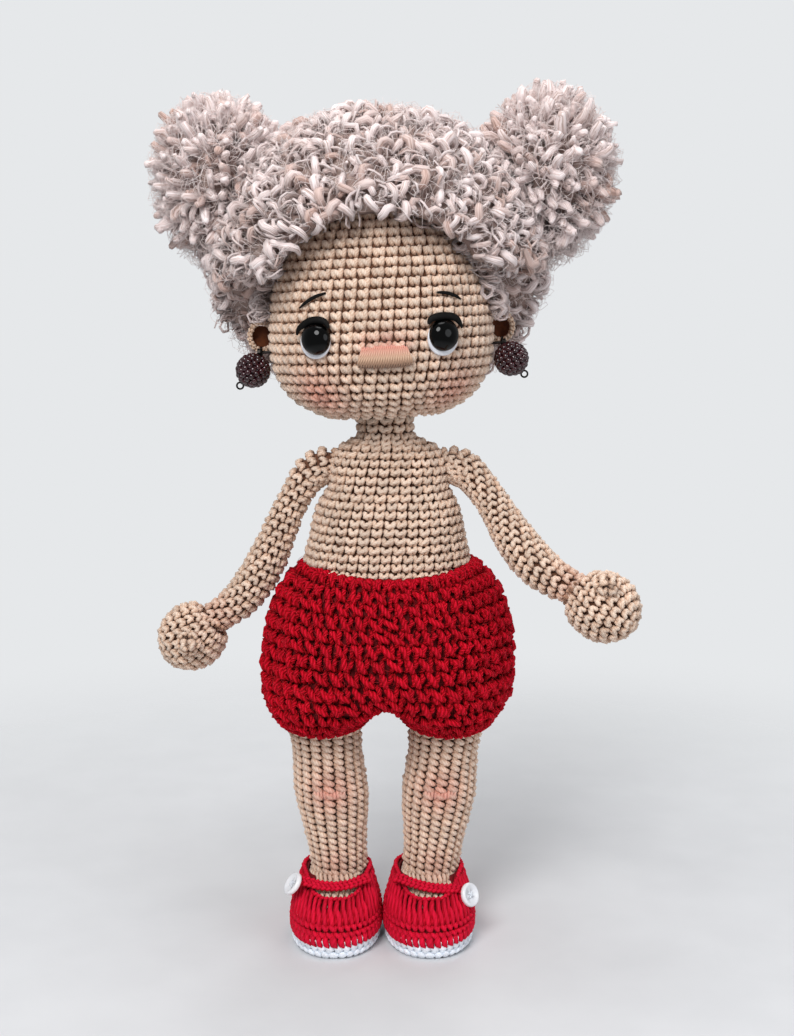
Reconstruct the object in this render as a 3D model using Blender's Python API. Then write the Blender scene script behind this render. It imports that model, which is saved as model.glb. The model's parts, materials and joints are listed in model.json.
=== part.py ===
# Crocheted doll with curly hair buns, bead earrings, puffy shorts and strap shoes.
# The doll faces -Y, +Z is up, and its left side is at +X. Lengths are in metres.
# Each soft limb is a worked skin over its own stuffing. The arms turn on knotted threads,
# the head turns on the neck and its dowel, the earrings swing and the shoe straps open.

import math

import bpy
import bmesh
from mathutils import Matrix, Vector

MM = 0.001
SIDES = {"right": -1, "left": 1}

# Fits
clearance = 0.3 * MM
skin_thickness = 2.2 * MM
stuffing_gap = 0.45 * MM
cut_overrun = 12 * MM

# Torso and neck, each height being the step up from the one before
hip_height = 88 * MM
hip_width = 60 * MM
hip_depth = 41 * MM
belly_rise = 19 * MM
belly_width = 64 * MM
belly_depth = 46 * MM
waist_rise = 19 * MM
waist_width = 56.4 * MM
waist_depth = 42 * MM
chest_rise = 19.5 * MM
chest_width = 47.6 * MM
chest_depth = 37.6 * MM
armpit_rise = 7.2 * MM
armpit_depth = 35.4 * MM
shoulder_rise = 6.8 * MM
shoulder_width = 39.4 * MM
shoulder_depth = 31 * MM
shoulder_slope_rise = 5.6 * MM
shoulder_top_width = 33 * MM
shoulder_top_depth = 21 * MM
torso_lean = 1.2 * MM
neck_rise = 3.4 * MM
neck_width = 19 * MM
neck_in_head = 8 * MM
torso_sides = 20
torso_power = 2.2
belly_height = hip_height + belly_rise
waist_height = belly_height + waist_rise
chest_height = waist_height + chest_rise
armpit_height = chest_height + armpit_rise
shoulder_height = armpit_height + shoulder_rise
neck_height = shoulder_height + shoulder_slope_rise + neck_rise

# Dowel in the neck
dowel_diameter = 5 * MM
dowel_in_torso = 36 * MM
dowel_in_head = 24 * MM

# Head, measured from the point on the neck where it turns
head_pivot_rise = 3.5 * MM
head_pivot_height = shoulder_height + head_pivot_rise
head_pivot_x = 0.5 * MM
head_tilt = math.radians(-2.4)
head_width = 72.5 * MM
head_depth = 70 * MM
head_centre_rise = 38 * MM
head_chin_drop = 27 * MM
head_crown_rise = 50 * MM
chin_power = 2.5
crown_power = 2.1
head_sides = 24

# Hair
hair_width = 112 * MM
hair_depth = 96 * MM
hair_tall = 98 * MM
hair_rise = 63 * MM
hair_back = 8 * MM
hairline_width = 73 * MM
hairline_side_rise = 49 * MM
hairline_rise = 78 * MM
temple_front = 8 * MM
ear_cut_radius = 38.5 * MM
ear_cut_front = 24 * MM
ear_cut_rise = 22 * MM
hair_sides = 24
bun_width = 49 * MM
bun_tall = 60 * MM
bun_spread = 52.5 * MM
bun_rise = 89 * MM
bun_back = 10 * MM
bun_shift = 2.7 * MM
bun_splay = math.radians(14)

# Ears and earrings
ear_width = 9 * MM
ear_tall = 9.8 * MM
ear_depth = 4.6 * MM
ear_side = 39.2 * MM
ear_rise = 39.5 * MM
ear_back = 3.6 * MM
ear_dish_share = 0.62
ear_sides = 12
earring_hinge_rise = 34.9 * MM
earring_hinge_front = 2.4 * MM
earring_hinge_side = 37.9 * MM
earring_tilt = math.radians(30)
earring_diameter = 12 * MM
earring_bump = 0.3 * MM
earring_wire = 0.7 * MM
earring_eye = 2.8 * MM
earring_stud = 0.9 * MM
earring_stud_head = 2.6 * MM
earring_stud_sunk = 1.8 * MM

# Eyes, lids and brows
eye_side = 19.3 * MM
eye_rise = 39.5 * MM
eye_diameter = 10 * MM
eye_dome = 4.3 * MM
eye_shank_diameter = 3 * MM
eye_shank_length = 9 * MM
eye_washer_diameter = 9 * MM
eye_washer_thickness = 1.5 * MM
eye_washer_back = 1.1 * MM
eye_white_diameter = 11.2 * MM
eye_white_thickness = 0.8 * MM
eye_white_shift = 0.6 * MM
lid_thread = 1.2 * MM
lid_radius = 6.8 * MM
lid_lift = 0.5 * MM
lid_outer_angle = math.radians(172)
lid_inner_angle = math.radians(58)
lid_flick = 2 * MM
brow_thread = 0.8 * MM
brow_inner_side = 19.5 * MM
brow_outer_side = 27.5 * MM
brow_inner_rise = 52.6 * MM
brow_outer_rise = 49.8 * MM

# Nose
nose_width = 19 * MM
nose_tall = 6 * MM
nose_proud = 2.6 * MM
nose_side = 2 * MM
nose_rise = 34 * MM

# Arms, along a path out from and down below the shoulder
arm_reach = 45.4 * MM
arm_drop = 57.5 * MM
arm_width = 13.2 * MM
hand_width = 22.4 * MM
hand_depth = 20 * MM
arm_sides = 10
arm_raise_angle = {"right": math.radians(0), "left": math.radians(48)}
arm_out_shares = (0, 0.07, 0.14, 0.215, 0.30, 0.37, 0.44, 0.515, 0.60, 0.69, 0.775, 0.85)
arm_down_shares = (0, 0.015, 0.06, 0.155, 0.28, 0.415, 0.54, 0.65, 0.745, 0.815, 0.86, 0.895)
arm_width_shares = (0.92, 0.94, 0.90, 0.80, 0.80, 0.88, 0.98, 1.0, 0.97, 0.90, 0.82, 0.80)
hand_along_shares = (-0.72, -0.38, 0, 0.4, 0.74, 0.93)
hand_width_shares = (0.70, 0.93, 1.0, 0.92, 0.67, 0.36)
arm_inner_stations = (1, 2, 3, 5, 7, 9, 11, 13, 15, 17)
arm_stuffing_stations = (5, 7, 9, 11, 13, 15, 17)
thumb_diameter = 6 * MM
thumb_sunk = 1.7 * MM
thumb_back = 3.6 * MM
thread_diameter = 1.2 * MM
thread_knot = 2.4 * MM

# Legs and feet
leg_spread_top = 22 * MM
leg_spread_foot = 15.9 * MM
leg_back_foot = 3 * MM
leg_top_width = 26.6 * MM
thigh_height = 62 * MM
thigh_width = 23 * MM
knee_height = 50 * MM
knee_width = 24.3 * MM
shin_height = 34 * MM
shin_width = 20.6 * MM
ankle_height = 23 * MM
ankle_width = 18.7 * MM
leg_sides = 16
knee_ridge_width = 11.4 * MM
knee_ridge_tall = 3.6 * MM
knee_ridge_proud = 0.9 * MM

# Shorts
shorts_waist_rise = 2 * MM
shorts_belly_rise = 21 * MM
shorts_belly_width = 82 * MM
shorts_belly_depth = 60 * MM
shorts_tuck_rise = 4 * MM
shorts_tuck_width = 85 * MM
shorts_tuck_depth = 62 * MM
shorts_crotch_drop = 7.5 * MM
shorts_crotch_share = 0.84
shorts_thickness = 3.2 * MM
shorts_lobe_spread = 21 * MM
shorts_lobe_rise = 2 * MM
shorts_lobe_width = 42 * MM
shorts_lobe_depth = 57 * MM
shorts_lobe_tall = 34 * MM
shorts_waist_height = waist_height + shorts_waist_rise
shorts_belly_height = hip_height + shorts_belly_rise
shorts_tuck_height = hip_height + shorts_tuck_rise
shorts_crotch_height = hip_height - shorts_crotch_drop
shorts_lobe_height = hip_height + shorts_lobe_rise
lobe_sides = 16

# Shoes
shoe_length = 46.4 * MM
shoe_width = 30.6 * MM
shoe_height = 20.5 * MM
shoe_front = 5 * MM
shoe_cloth = 2 * MM
shoe_sides = 24
shoe_power = 2.25
sole_height = 4.5 * MM
sole_edge = 0.8 * MM
insole_thickness = 1.2 * MM
shoe_level_shares = (0, 0.17, 0.395, 0.585, 0.775, 0.905, 1)
shoe_length_shares = (0.975, 1.0, 0.95, 0.837, 0.685, 0.578, 0.517)
shoe_width_shares = (0.975, 1.0, 0.975, 0.915, 0.843, 0.797, 0.775)
shoe_shift_shares = (0, 0, 0.075, 0.26, 0.585, 0.86, 1)
shoe_collar_back = 8 * MM
throat_front = 17 * MM
throat_length = 18 * MM
throat_width = 16 * MM
throat_floor = 9 * MM
strap_front = 13.2 * MM
strap_width = 3.6 * MM
strap_thickness = 1.8 * MM
strap_low = 12 * MM
strap_lap = 2.6 * MM
strap_root_height = 16.2 * MM
button_diameter = 7.8 * MM
button_thickness = 2.2 * MM
button_rim = 0.8 * MM
button_height = 14.6 * MM

# Smoothness of the small round pieces
small_sides = 16
tiny_sides = 10

for leftover in list(bpy.data.objects):
    bpy.data.objects.remove(leftover)

root = bpy.data.objects.new("doll_frame", None)
bpy.context.scene.collection.objects.link(root)


# Materials

def linear(code):
    """Turn a hex colour into linear red, green, blue and alpha."""
    parts = [int(code[i:i + 2], 16) / 255 for i in (1, 3, 5)]
    curve = [c / 12.92 if c <= 0.04045 else ((c + 0.055) / 1.055) ** 2.4 for c in parts]
    return (*curve, 1)


finishes = {
    "skin_cotton": ("#DDBE9E", 0.9, 0),
    "skin_blush": ("#D99A8A", 0.9, 0),
    "hair_boucle": ("#B9A39C", 0.95, 0),
    "ear_cotton": ("#B87850", 0.9, 0),
    "red_chunky": ("#B00014", 0.9, 0),
    "red_cotton": ("#D0001E", 0.85, 0),
    "white_cotton": ("#E4E6EC", 0.9, 0),
    "black_gloss": ("#050505", 0.12, 0),
    "black_thread": ("#0C0A0A", 0.8, 0),
    "white_felt": ("#F0EEEC", 0.9, 0),
    "washer_plastic": ("#E8E8E4", 0.5, 0),
    "bead_glass": ("#3C0A14", 0.15, 0),
    "earring_steel": ("#8E8C88", 0.35, 1),
    "white_plastic": ("#F2F2F0", 0.25, 0),
    "stuffing_fibre": ("#F4F2EE", 1.0, 0),
    "dowel_wood": ("#C9A878", 0.6, 0),
    "joint_thread": ("#E8DCC8", 0.8, 0),
    "insole_board": ("#C8B896", 0.8, 0),
}


def material_for(node, finish):
    """Give a node its own Principled material."""
    code, roughness, metallic = finishes[finish]
    material = bpy.data.materials.new(node + "_" + finish)
    material.use_nodes = True
    shader = material.node_tree.nodes["Principled BSDF"]
    shader.inputs["Base Color"].default_value = linear(code)
    shader.inputs["Roughness"].default_value = roughness
    shader.inputs["Metallic"].default_value = metallic
    return material


# Modelling helpers

def empty(name, parent, location=(0, 0, 0), rotation=(0, 0, 0)):
    """An empty that carries a group of pieces."""
    frame = bpy.data.objects.new(name, None)
    bpy.context.scene.collection.objects.link(frame)
    frame.parent = parent
    frame.location = location
    frame.rotation_euler = rotation
    return frame


def solid(name, bm, finish, parent, matrix=None):
    """Make an object of a finished mesh. Without a finish it is a cutter or a guide."""
    bmesh.ops.recalc_face_normals(bm, faces=bm.faces)
    mesh = bpy.data.meshes.new(name)
    bm.to_mesh(mesh)
    bm.free()
    body = bpy.data.objects.new(name, mesh)
    bpy.context.scene.collection.objects.link(body)
    body.parent = parent
    if matrix is not None:
        body.matrix_local = matrix
    if finish is None:
        body.hide_render = True
        body.display_type = "WIRE"
    else:
        mesh.materials.append(material_for(name, finish))
        mesh.shade_smooth()
        mesh.set_sharp_from_angle(angle=math.radians(40))
    return body


def boolean(body, cutter, operation="DIFFERENCE"):
    """Cut a body by a cutter, or join it to one."""
    step = body.modifiers.new(operation.lower() + "_" + cutter.name, "BOOLEAN")
    step.operation = operation
    step.solver = "EXACT"
    step.object = cutter


def oval(centre, half_x, half_y, sides, power=2.0):
    """A level ring, round at power 2 and squarer above it."""
    ring = []
    for i in range(sides):
        angle = 2 * math.pi * i / sides
        c, s = math.cos(angle), math.sin(angle)
        x = half_x * math.copysign(abs(c) ** (2 / power), c)
        y = half_y * math.copysign(abs(s) ** (2 / power), s)
        ring.append(Vector((centre[0] + x, centre[1] + y, centre[2])))
    return ring


def loft(rings, first=None, last=None):
    """Skin rings in turn. Each end closes on a pole, or with no poles the last ring meets the first."""
    bm = bmesh.new()
    rows = [[bm.verts.new(point) for point in ring] for ring in rings]
    pairs = list(zip(rows, rows[1:]))
    if first is None and last is None:
        pairs.append((rows[-1], rows[0]))
    for low, high in pairs:
        count = len(low)
        for i in range(count):
            j = (i + 1) % count
            bm.faces.new((low[i], low[j], high[j], high[i]))
    for row, pole in ((rows[0], first), (rows[-1], last)):
        if pole is not None:
            tip = bm.verts.new(pole)
            for i in range(len(row)):
                bm.faces.new((row[i], row[(i + 1) % len(row)], tip))
    return bm


def turned(profile, sides):
    """Turn a profile of (radius, height) points, whose ends lie on the axis, about Z."""
    rings = [oval((0, 0, height), radius, radius, sides) for radius, height in profile[1:-1]]
    return loft(rings, Vector((0, 0, profile[0][1])), Vector((0, 0, profile[-1][1])))


def turned_ring(profile, sides):
    """Turn a closed profile of (radius, height) points about Z."""
    return loft([oval((0, 0, height), radius, radius, sides) for radius, height in profile])


def ellipsoid(radii, sides, centre=(0, 0, 0)):
    """A round form with three half sizes."""
    bm = bmesh.new()
    place = Matrix.Translation(centre) @ Matrix.Diagonal((*radii, 1))
    bmesh.ops.create_uvsphere(bm, u_segments=sides, v_segments=sides // 2, radius=1, matrix=place)
    return bm


def box(low, high):
    """A box between two corners."""
    bm = bmesh.new()
    middle = [(a + b) / 2 for a, b in zip(low, high)]
    size = [b - a for a, b in zip(low, high)]
    bmesh.ops.create_cube(bm, size=1, matrix=Matrix.Translation(middle) @ Matrix.Diagonal((*size, 1)))
    return bm


def around(radius, sides):
    """Radius at which a polygon clears a round of this radius."""
    return radius / math.cos(math.pi / sides)


def frame_on(point, normal, up=Vector((0, 0, 1))):
    """A matrix at a point, with Z along the normal and Y as near up as it can be."""
    z = normal.normalized()
    x = up.cross(z).normalized()
    y = z.cross(x)
    turn = Matrix((x, y, z)).transposed().to_4x4()
    return Matrix.Translation(point) @ turn


def thread(name, paths, radius, finish, parent, matrix=None, resolution=1):
    """A thread or wire along a path of points, with filled ends."""
    curve = bpy.data.curves.new(name, "CURVE")
    curve.dimensions = "3D"
    curve.bevel_depth = radius
    curve.bevel_resolution = resolution
    curve.use_fill_caps = True
    spline = curve.splines.new("POLY")
    spline.points.add(len(paths) - 1)
    for knot, point in zip(spline.points, paths):
        knot.co = (*point, 1)
    body = bpy.data.objects.new(name, curve)
    bpy.context.scene.collection.objects.link(body)
    body.parent = parent
    if matrix is not None:
        body.matrix_local = matrix
    curve.materials.append(material_for(name, finish))
    return body


def through(stations, steps):
    """Points on a smooth line through stations, with a number of steps between each two."""
    line = []
    last = len(stations) - 1
    for i in range(last):
        before, start = stations[max(i - 1, 0)], stations[i]
        end, after = stations[i + 1], stations[min(i + 2, last)]
        for k in range(steps):
            t = k / steps
            line.append(tuple(
                0.5 * (2 * b + (c - a) * t + (2 * a - 5 * b + 4 * c - d) * t ** 2
                       + (3 * b - a - 3 * c + d) * t ** 3)
                for a, b, c, d in zip(before, start, end, after)))
    line.append(tuple(stations[last]))
    return line


# Torso with its neck

head_frame = empty("head_axis", root, (head_pivot_x, 0, head_pivot_height), (0, head_tilt, 0))
head_axis = Vector((math.sin(head_tilt), 0, math.cos(head_tilt)))
head_pivot = Vector((head_pivot_x, 0, head_pivot_height))
chin_rise = head_centre_rise - head_chin_drop
neck_top = chin_rise + neck_in_head
neck_radius = neck_width / 2


def lean_at(height):
    """How far the torso's middle stands to the left at a height."""
    return torso_lean * (height - hip_height) / (shoulder_height - hip_height)


def neck_ring(rise, radius, sides):
    """A ring round the neck's own leaning axis."""
    turn = Matrix.Rotation(head_tilt, 3, "Y")
    return [head_pivot + turn @ point for point in oval((0, 0, rise), radius, radius, sides)]


def torso_rings(inset, sides, steps):
    """Rings of the torso from the hips up to the root of the neck."""
    sizes = (
        (hip_height + clearance + inset, hip_width, hip_depth),
        (belly_height, belly_width, belly_depth),
        (waist_height, waist_width, waist_depth),
        (chest_height, chest_width, chest_depth),
        (armpit_height, shoulder_width, armpit_depth),
        (shoulder_height, shoulder_width, shoulder_depth),
        (shoulder_height + shoulder_slope_rise - inset, shoulder_top_width, shoulder_top_depth))
    stations = [(height, width / 2 - inset, deep / 2 - inset) for height, width, deep in sizes]
    return [oval((lean_at(height), 0, height), half, deep, sides, torso_power)
            for height, half, deep in through(stations, steps)]


def torso_skin():
    outer = torso_rings(0, torso_sides, 2)
    inner = torso_rings(skin_thickness, torso_sides, 1)
    neck_root = neck_height - head_pivot_height
    bore = neck_radius - skin_thickness
    outer += [neck_ring(neck_root, neck_radius, torso_sides), neck_ring(neck_top, neck_radius, torso_sides)]
    inner += [neck_ring(neck_root, bore, torso_sides), neck_ring(neck_top, bore, torso_sides)]
    base = Vector((0, 0, hip_height + clearance))
    floor = base + Vector((0, 0, skin_thickness))
    return solid("torso", loft(outer + inner[::-1], base, floor), "skin_cotton", root)


def torso_stuffing():
    inset = skin_thickness + stuffing_gap
    rings = torso_rings(inset, torso_sides // 2, 1)
    neck_root = neck_height - head_pivot_height
    rings += [neck_ring(rise, neck_radius - inset, torso_sides // 2) for rise in (neck_root, neck_top)]
    base = Vector((0, 0, hip_height + clearance + inset))
    return solid("torso_stuffing", loft(rings, base, head_pivot + head_axis * neck_top),
                 "stuffing_fibre", root)


def neck_dowel():
    radius = dowel_diameter / 2
    chamfer = radius / 4
    profile = [(0, -dowel_in_torso), (radius - chamfer, -dowel_in_torso), (radius, chamfer - dowel_in_torso),
               (radius, dowel_in_head - chamfer), (radius - chamfer, dowel_in_head), (0, dowel_in_head)]
    place = Matrix.Translation(head_pivot) @ Matrix.Rotation(head_tilt, 4, "Y")
    return solid("neck_dowel", turned(profile, small_sides), "dowel_wood", root, place)


def dowel_bore():
    radius = around(dowel_diameter / 2 + clearance, small_sides)
    low = -dowel_in_torso - clearance
    profile = [(0, low), (radius, low), (radius, neck_top + cut_overrun), (0, neck_top + cut_overrun)]
    place = Matrix.Translation(head_pivot) @ Matrix.Rotation(head_tilt, 4, "Y")
    return solid("dowel_bore", turned(profile, small_sides), None, root, place)


torso = torso_skin()
torso_fill = torso_stuffing()
neck_dowel()
boolean(torso_fill, dowel_bore())


# Head

def head_rings(inset, sides, levels):
    """Rings of the head from near the crown down to near the chin, in the head's own frame."""
    half_x, half_y = head_width / 2 - inset, head_depth / 2 - inset
    rings = []
    for k in range(1, levels):
        angle = math.radians(90) - math.radians(166) * k / (levels - 1 + 0.2)
        if angle >= 0:
            reach, power = head_crown_rise - inset, crown_power
        else:
            reach, power = head_chin_drop - inset, chin_power
        share = math.cos(angle) ** (2 / power)
        rise = math.copysign(reach * abs(math.sin(angle)) ** (2 / power), angle)
        rings.append(oval((0, 0, head_centre_rise + rise), half_x * share, half_y * share, sides))
    return rings


def head_front(x, rise):
    """The point on the front of the head at a side place and a height, with its normal."""
    above = rise - head_centre_rise
    reach, power = (head_crown_rise, crown_power) if above >= 0 else (head_chin_drop, chin_power)
    level = abs(above) / reach
    share = (1 - level ** power) ** (1 / power)
    half_x, half_y = head_width / 2, head_depth / 2
    y = -half_y * math.sqrt(share ** 2 - (x / half_x) ** 2)
    slope = share ** (2 - power) * math.copysign(level ** (power - 1), above) / reach
    return Vector((x, y, rise)), Vector((x / half_x ** 2, y / half_y ** 2, slope)).normalized()


def head_skin():
    bore = around(neck_radius + clearance, head_sides)
    outer = head_rings(0, head_sides, 12)
    inner = head_rings(skin_thickness, head_sides, 8)
    rim = [oval((0, 0, chin_rise), bore, bore, head_sides),
           oval((0, 0, chin_rise + skin_thickness), bore, bore, head_sides)]
    crown = head_centre_rise + head_crown_rise
    mesh = loft(outer + rim + inner[::-1], Vector((0, 0, crown)), Vector((0, 0, crown - skin_thickness)))
    return solid("head", mesh, "skin_cotton", head_frame)


def head_stuffing():
    sides = head_sides // 2
    inset = skin_thickness + stuffing_gap
    bore = around(neck_radius + clearance, sides)
    pin = around(dowel_diameter / 2 + clearance, sides)
    rings = head_rings(inset, sides, 8)
    seat = neck_top + clearance
    rings += [oval((0, 0, chin_rise + inset), bore, bore, sides), oval((0, 0, seat), bore, bore, sides),
              oval((0, 0, seat), pin, pin, sides),
              oval((0, 0, dowel_in_head + clearance), pin, pin, sides)]
    mesh = loft(rings, Vector((0, 0, head_centre_rise + head_crown_rise - inset)),
                Vector((0, 0, dowel_in_head + clearance)))
    return solid("head_stuffing", mesh, "stuffing_fibre", head_frame)


def head_room():
    """The head's outer form grown by the clearance, which seats what lies on the head."""
    mesh = loft(head_rings(-clearance, head_sides, 12),
                Vector((0, 0, head_centre_rise + head_crown_rise + clearance)),
                Vector((0, 0, chin_rise - clearance)))
    return solid("head_room", mesh, None, head_frame)


head = head_skin()
head_fill = head_stuffing()
head_seat = head_room()


# Hair

def hair_cap():
    """A round mass of curls over the head, open at the face and ears."""
    centre = (0, hair_back, hair_rise)
    cap = solid("hair_cap", ellipsoid((hair_width / 2, hair_depth / 2, hair_tall / 2), hair_sides, centre),
                "hair_boucle", head_frame)
    arch = bmesh.new()
    steps = 10
    outline = []
    for k in range(steps + 1):
        angle = math.pi * k / steps
        outline.append((hairline_width / 2 * math.cos(angle),
                        hairline_side_rise + (hairline_rise - hairline_side_rise) * math.sin(angle)))
    outline += [(-hairline_width / 2, -cut_overrun), (hairline_width / 2, -cut_overrun)]
    front = [arch.verts.new((x, -hair_depth, z)) for x, z in outline]
    face = arch.faces.new(front)
    pushed = bmesh.ops.extrude_face_region(arch, geom=[face])
    moved = [item for item in pushed["geom"] if isinstance(item, bmesh.types.BMVert)]
    bmesh.ops.translate(arch, verts=moved, vec=(0, hair_depth - temple_front, 0))
    boolean(cap, solid("hairline_arch", arch, None, head_frame))
    side_cut = [(0, -hair_width), (ear_cut_radius, -hair_width), (ear_cut_radius, hair_width), (0, hair_width)]
    across = Matrix.Translation((0, -ear_cut_front, ear_cut_rise)) @ Matrix.Rotation(math.radians(90), 4, "Y")
    boolean(cap, solid("ear_room", turned(side_cut, hair_sides), None, head_frame, across))
    boolean(cap, head_seat)
    return cap


def hair_bun(side, sign, room):
    centre = (sign * bun_spread + bun_shift, bun_back, bun_rise)
    place = Matrix.Translation(centre) @ Matrix.Rotation(sign * bun_splay, 4, "Y")
    bun = solid("hair_bun_" + side, ellipsoid((bun_width / 2, bun_width / 2, bun_tall / 2), 16),
                "hair_boucle", head_frame, place)
    boolean(bun, room)
    return bun


hair_cap()
cap_room = solid("hair_room", ellipsoid([size / 2 + clearance for size in (hair_width, hair_depth, hair_tall)],
                                        hair_sides, (0, hair_back, hair_rise)), None, head_frame)
for side, sign in SIDES.items():
    hair_bun(side, sign, cap_room)


# Ears

def ear(side, sign):
    """A small cupped ear, hollow at the front and seated on the head."""
    centre = Vector((sign * ear_side, ear_back, ear_rise))
    radii = (ear_width / 2, ear_depth / 2, ear_tall / 2)
    shell = solid("ear_" + side, ellipsoid(radii, ear_sides, centre), "ear_cotton", head_frame)
    dish = [radius * ear_dish_share for radius in radii]
    hollow = ellipsoid((dish[0], radii[1], dish[2]), ear_sides, centre - Vector((0, radii[1], 0)))
    boolean(shell, solid("ear_hollow_" + side, hollow, None, head_frame))
    boolean(shell, head_seat)


for side, sign in SIDES.items():
    ear(side, sign)


# Eyes

def eye(side, sign):
    """A dome with its shank through the skin, the white under it and the washer behind it."""
    point, normal = head_front(sign * eye_side, eye_rise)
    place = frame_on(point, normal)
    radius, shank = eye_diameter / 2, eye_shank_diameter / 2
    seat = clearance + eye_white_thickness + clearance
    dome = [(radius * math.cos(math.radians(a)), seat + eye_dome * math.sin(math.radians(a)))
            for a in (72, 54, 36, 18, 0)]
    profile = [(0, seat + eye_dome)] + dome + [(shank, seat), (shank, -eye_shank_length), (0, -eye_shank_length)]
    solid("eye_" + side, turned(profile, 20), "black_gloss", head_frame, place)

    hole = around(shank + clearance, small_sides)
    white = eye_white_diameter / 2
    shift = (sign * eye_white_shift, -eye_white_shift)
    low, high = clearance, clearance + eye_white_thickness
    rings = [oval((*shift, low), white, white, small_sides), oval((*shift, high), white, white, small_sides),
             oval((0, 0, high), hole, hole, small_sides), oval((0, 0, low), hole, hole, small_sides)]
    solid("eye_white_" + side, loft(rings), "white_felt", head_frame, place)

    washer = eye_washer_diameter / 2
    top = -skin_thickness - clearance - eye_washer_back
    bottom = top - eye_washer_thickness
    ring = [(washer, top), (washer, bottom), (hole, bottom), (hole, top)]
    solid("eye_washer_" + side, turned_ring(ring, small_sides), "washer_plastic", head_frame, place)

    drill = [(0, cut_overrun), (hole, cut_overrun), (hole, -cut_overrun), (0, -cut_overrun)]
    boolean(head, solid("eye_drill_" + side, turned(drill, small_sides), None, head_frame, place))
    wide = around(washer + clearance, small_sides)
    end = -eye_shank_length - clearance
    pocket = [(0, cut_overrun), (wide, cut_overrun), (wide, bottom - clearance), (hole, bottom - clearance),
              (hole, end), (0, end)]
    boolean(head_fill, solid("eye_pocket_" + side, turned(pocket, small_sides), None, head_frame, place))

    lid = lid_thread / 2
    steps = 9
    path = []
    for k in range(steps + 1):
        angle = lid_outer_angle + (lid_inner_angle - lid_outer_angle) * k / steps
        path.append((-sign * lid_radius * math.cos(angle), lid_lift + lid_radius * math.sin(angle),
                     clearance + lid))
    tail = Vector(path[0]) + Vector((sign * lid_flick, -clearance, 0))
    thread("eyelid_" + side, [tail] + path, lid, "black_thread", head_frame, place)


def brow(side, sign):
    """A short thread laid over the head above the eye."""
    radius = brow_thread / 2
    steps = 6
    path = []
    for k in range(steps + 1):
        t = k / steps
        x = brow_inner_side + (brow_outer_side - brow_inner_side) * t
        rise = brow_inner_rise + (brow_outer_rise - brow_inner_rise) * t ** 1.5
        point, normal = head_front(sign * x, rise)
        path.append(point + normal * (radius + clearance))
    thread("eyebrow_" + side, path, radius, "black_thread", head_frame)


def nose():
    """A bar of satin stitches, round at its ends, lying across the face."""
    point, normal = head_front(nose_side, nose_rise)
    turn = Matrix.Rotation(math.atan2(normal.x, -normal.y), 4, "Z")
    place = Matrix.Translation(point) @ turn
    bar = solid("nose", ellipsoid((nose_width / 2, nose_proud, nose_tall / 2), 16), "skin_blush",
                head_frame, place)
    boolean(bar, head_seat)


for side, sign in SIDES.items():
    eye(side, sign)
    brow(side, sign)
nose()


# Earrings

def earring(side, sign):
    """A bead ball threaded on a wire whose upper eye hangs on a stud in the head."""
    hinge = Vector((sign * earring_hinge_side, -earring_hinge_front, earring_hinge_rise))
    frame = empty("earring_axis_" + side, head_frame, hinge)
    down = Vector((sign * math.sin(earring_tilt), 0, -math.cos(earring_tilt)))
    wire, eye_radius = earring_wire / 2, earring_eye / 2
    ball = earring_diameter / 2
    middle = eye_radius + wire + clearance + earring_bump + ball
    lower = middle + ball + earring_bump + clearance + wire + eye_radius
    steps = 9
    gap = math.radians(45)
    sweep = [gap + (2 * math.pi - gap) * k / steps for k in range(steps + 1)]
    path = [Vector((0, eye_radius * math.sin(a), 0)) + down * eye_radius * math.cos(a) for a in sweep]
    path += [Vector((0, eye_radius * math.sin(a), 0)) + down * (lower - eye_radius * math.cos(a))
             for a in reversed(sweep)]
    thread("earring_wire_" + side, path, wire, "earring_steel", frame)

    bm = bmesh.new()
    bmesh.ops.create_icosphere(bm, subdivisions=2, radius=ball)
    raised = set(bm.verts)
    bmesh.ops.subdivide_edges(bm, edges=bm.edges, cuts=1, use_grid_fill=True)
    for corner in bm.verts:
        reach = ball + earring_bump if corner in raised else ball - earring_bump
        corner.co = corner.co.normalized() * reach
    place = Matrix.Translation(down * middle) @ down.to_track_quat("Z", "Y").to_matrix().to_4x4()
    beads = solid("earring_ball_" + side, bm, "bead_glass", frame, place)
    bore = around(wire + clearance, tiny_sides)
    drill = [(0, ball * 2), (bore, ball * 2), (bore, -ball * 2), (0, -ball * 2)]
    boolean(beads, solid("earring_bore_" + side, turned(drill, tiny_sides), None, frame, place))

    pin, cap = earring_stud / 2, earring_stud_head / 2
    surface = head_width / 2
    start = surface - earring_stud_sunk - earring_hinge_side
    end = eye_radius * math.sin(earring_tilt) + wire + clearance
    cap_end = end + pin * 2
    profile = [(0, start), (pin, start), (pin, end), (cap, end), (cap, cap_end), (0, cap_end)]
    aim = Vector((sign, 0, 0)).to_track_quat("Z", "Y").to_matrix().to_4x4()
    place = Matrix.Translation(hinge) @ aim
    solid("earring_stud_" + side, turned(profile, tiny_sides), "earring_steel", head_frame, place)
    hole = around(pin + clearance, tiny_sides)
    far = surface - skin_thickness * 2 - earring_hinge_side
    bite = [(0, far), (hole, far), (hole, cut_overrun), (0, cut_overrun)]
    boolean(head, solid("stud_hole_" + side, turned(bite, tiny_sides), None, head_frame, place))


for side, sign in SIDES.items():
    earring(side, sign)


# Arms

def arm_path(inset):
    """Stations of the arm as (out, down, half width, half depth), then the hand's tip."""
    line = []
    for out, down, width in zip(arm_out_shares, arm_down_shares, arm_width_shares):
        half = arm_width * width / 2 - inset
        line.append((arm_reach * out, arm_drop * down, half, half))
    palm = Vector((arm_reach, arm_drop))
    along = (palm - Vector(line[-1][:2])).normalized()
    half, deep = hand_width / 2 - inset, hand_depth / 2 - inset
    for step, width in zip(hand_along_shares, hand_width_shares):
        line.append((*(palm + along * step * half), half * width, deep * width))
    return line, palm + along * half


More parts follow.
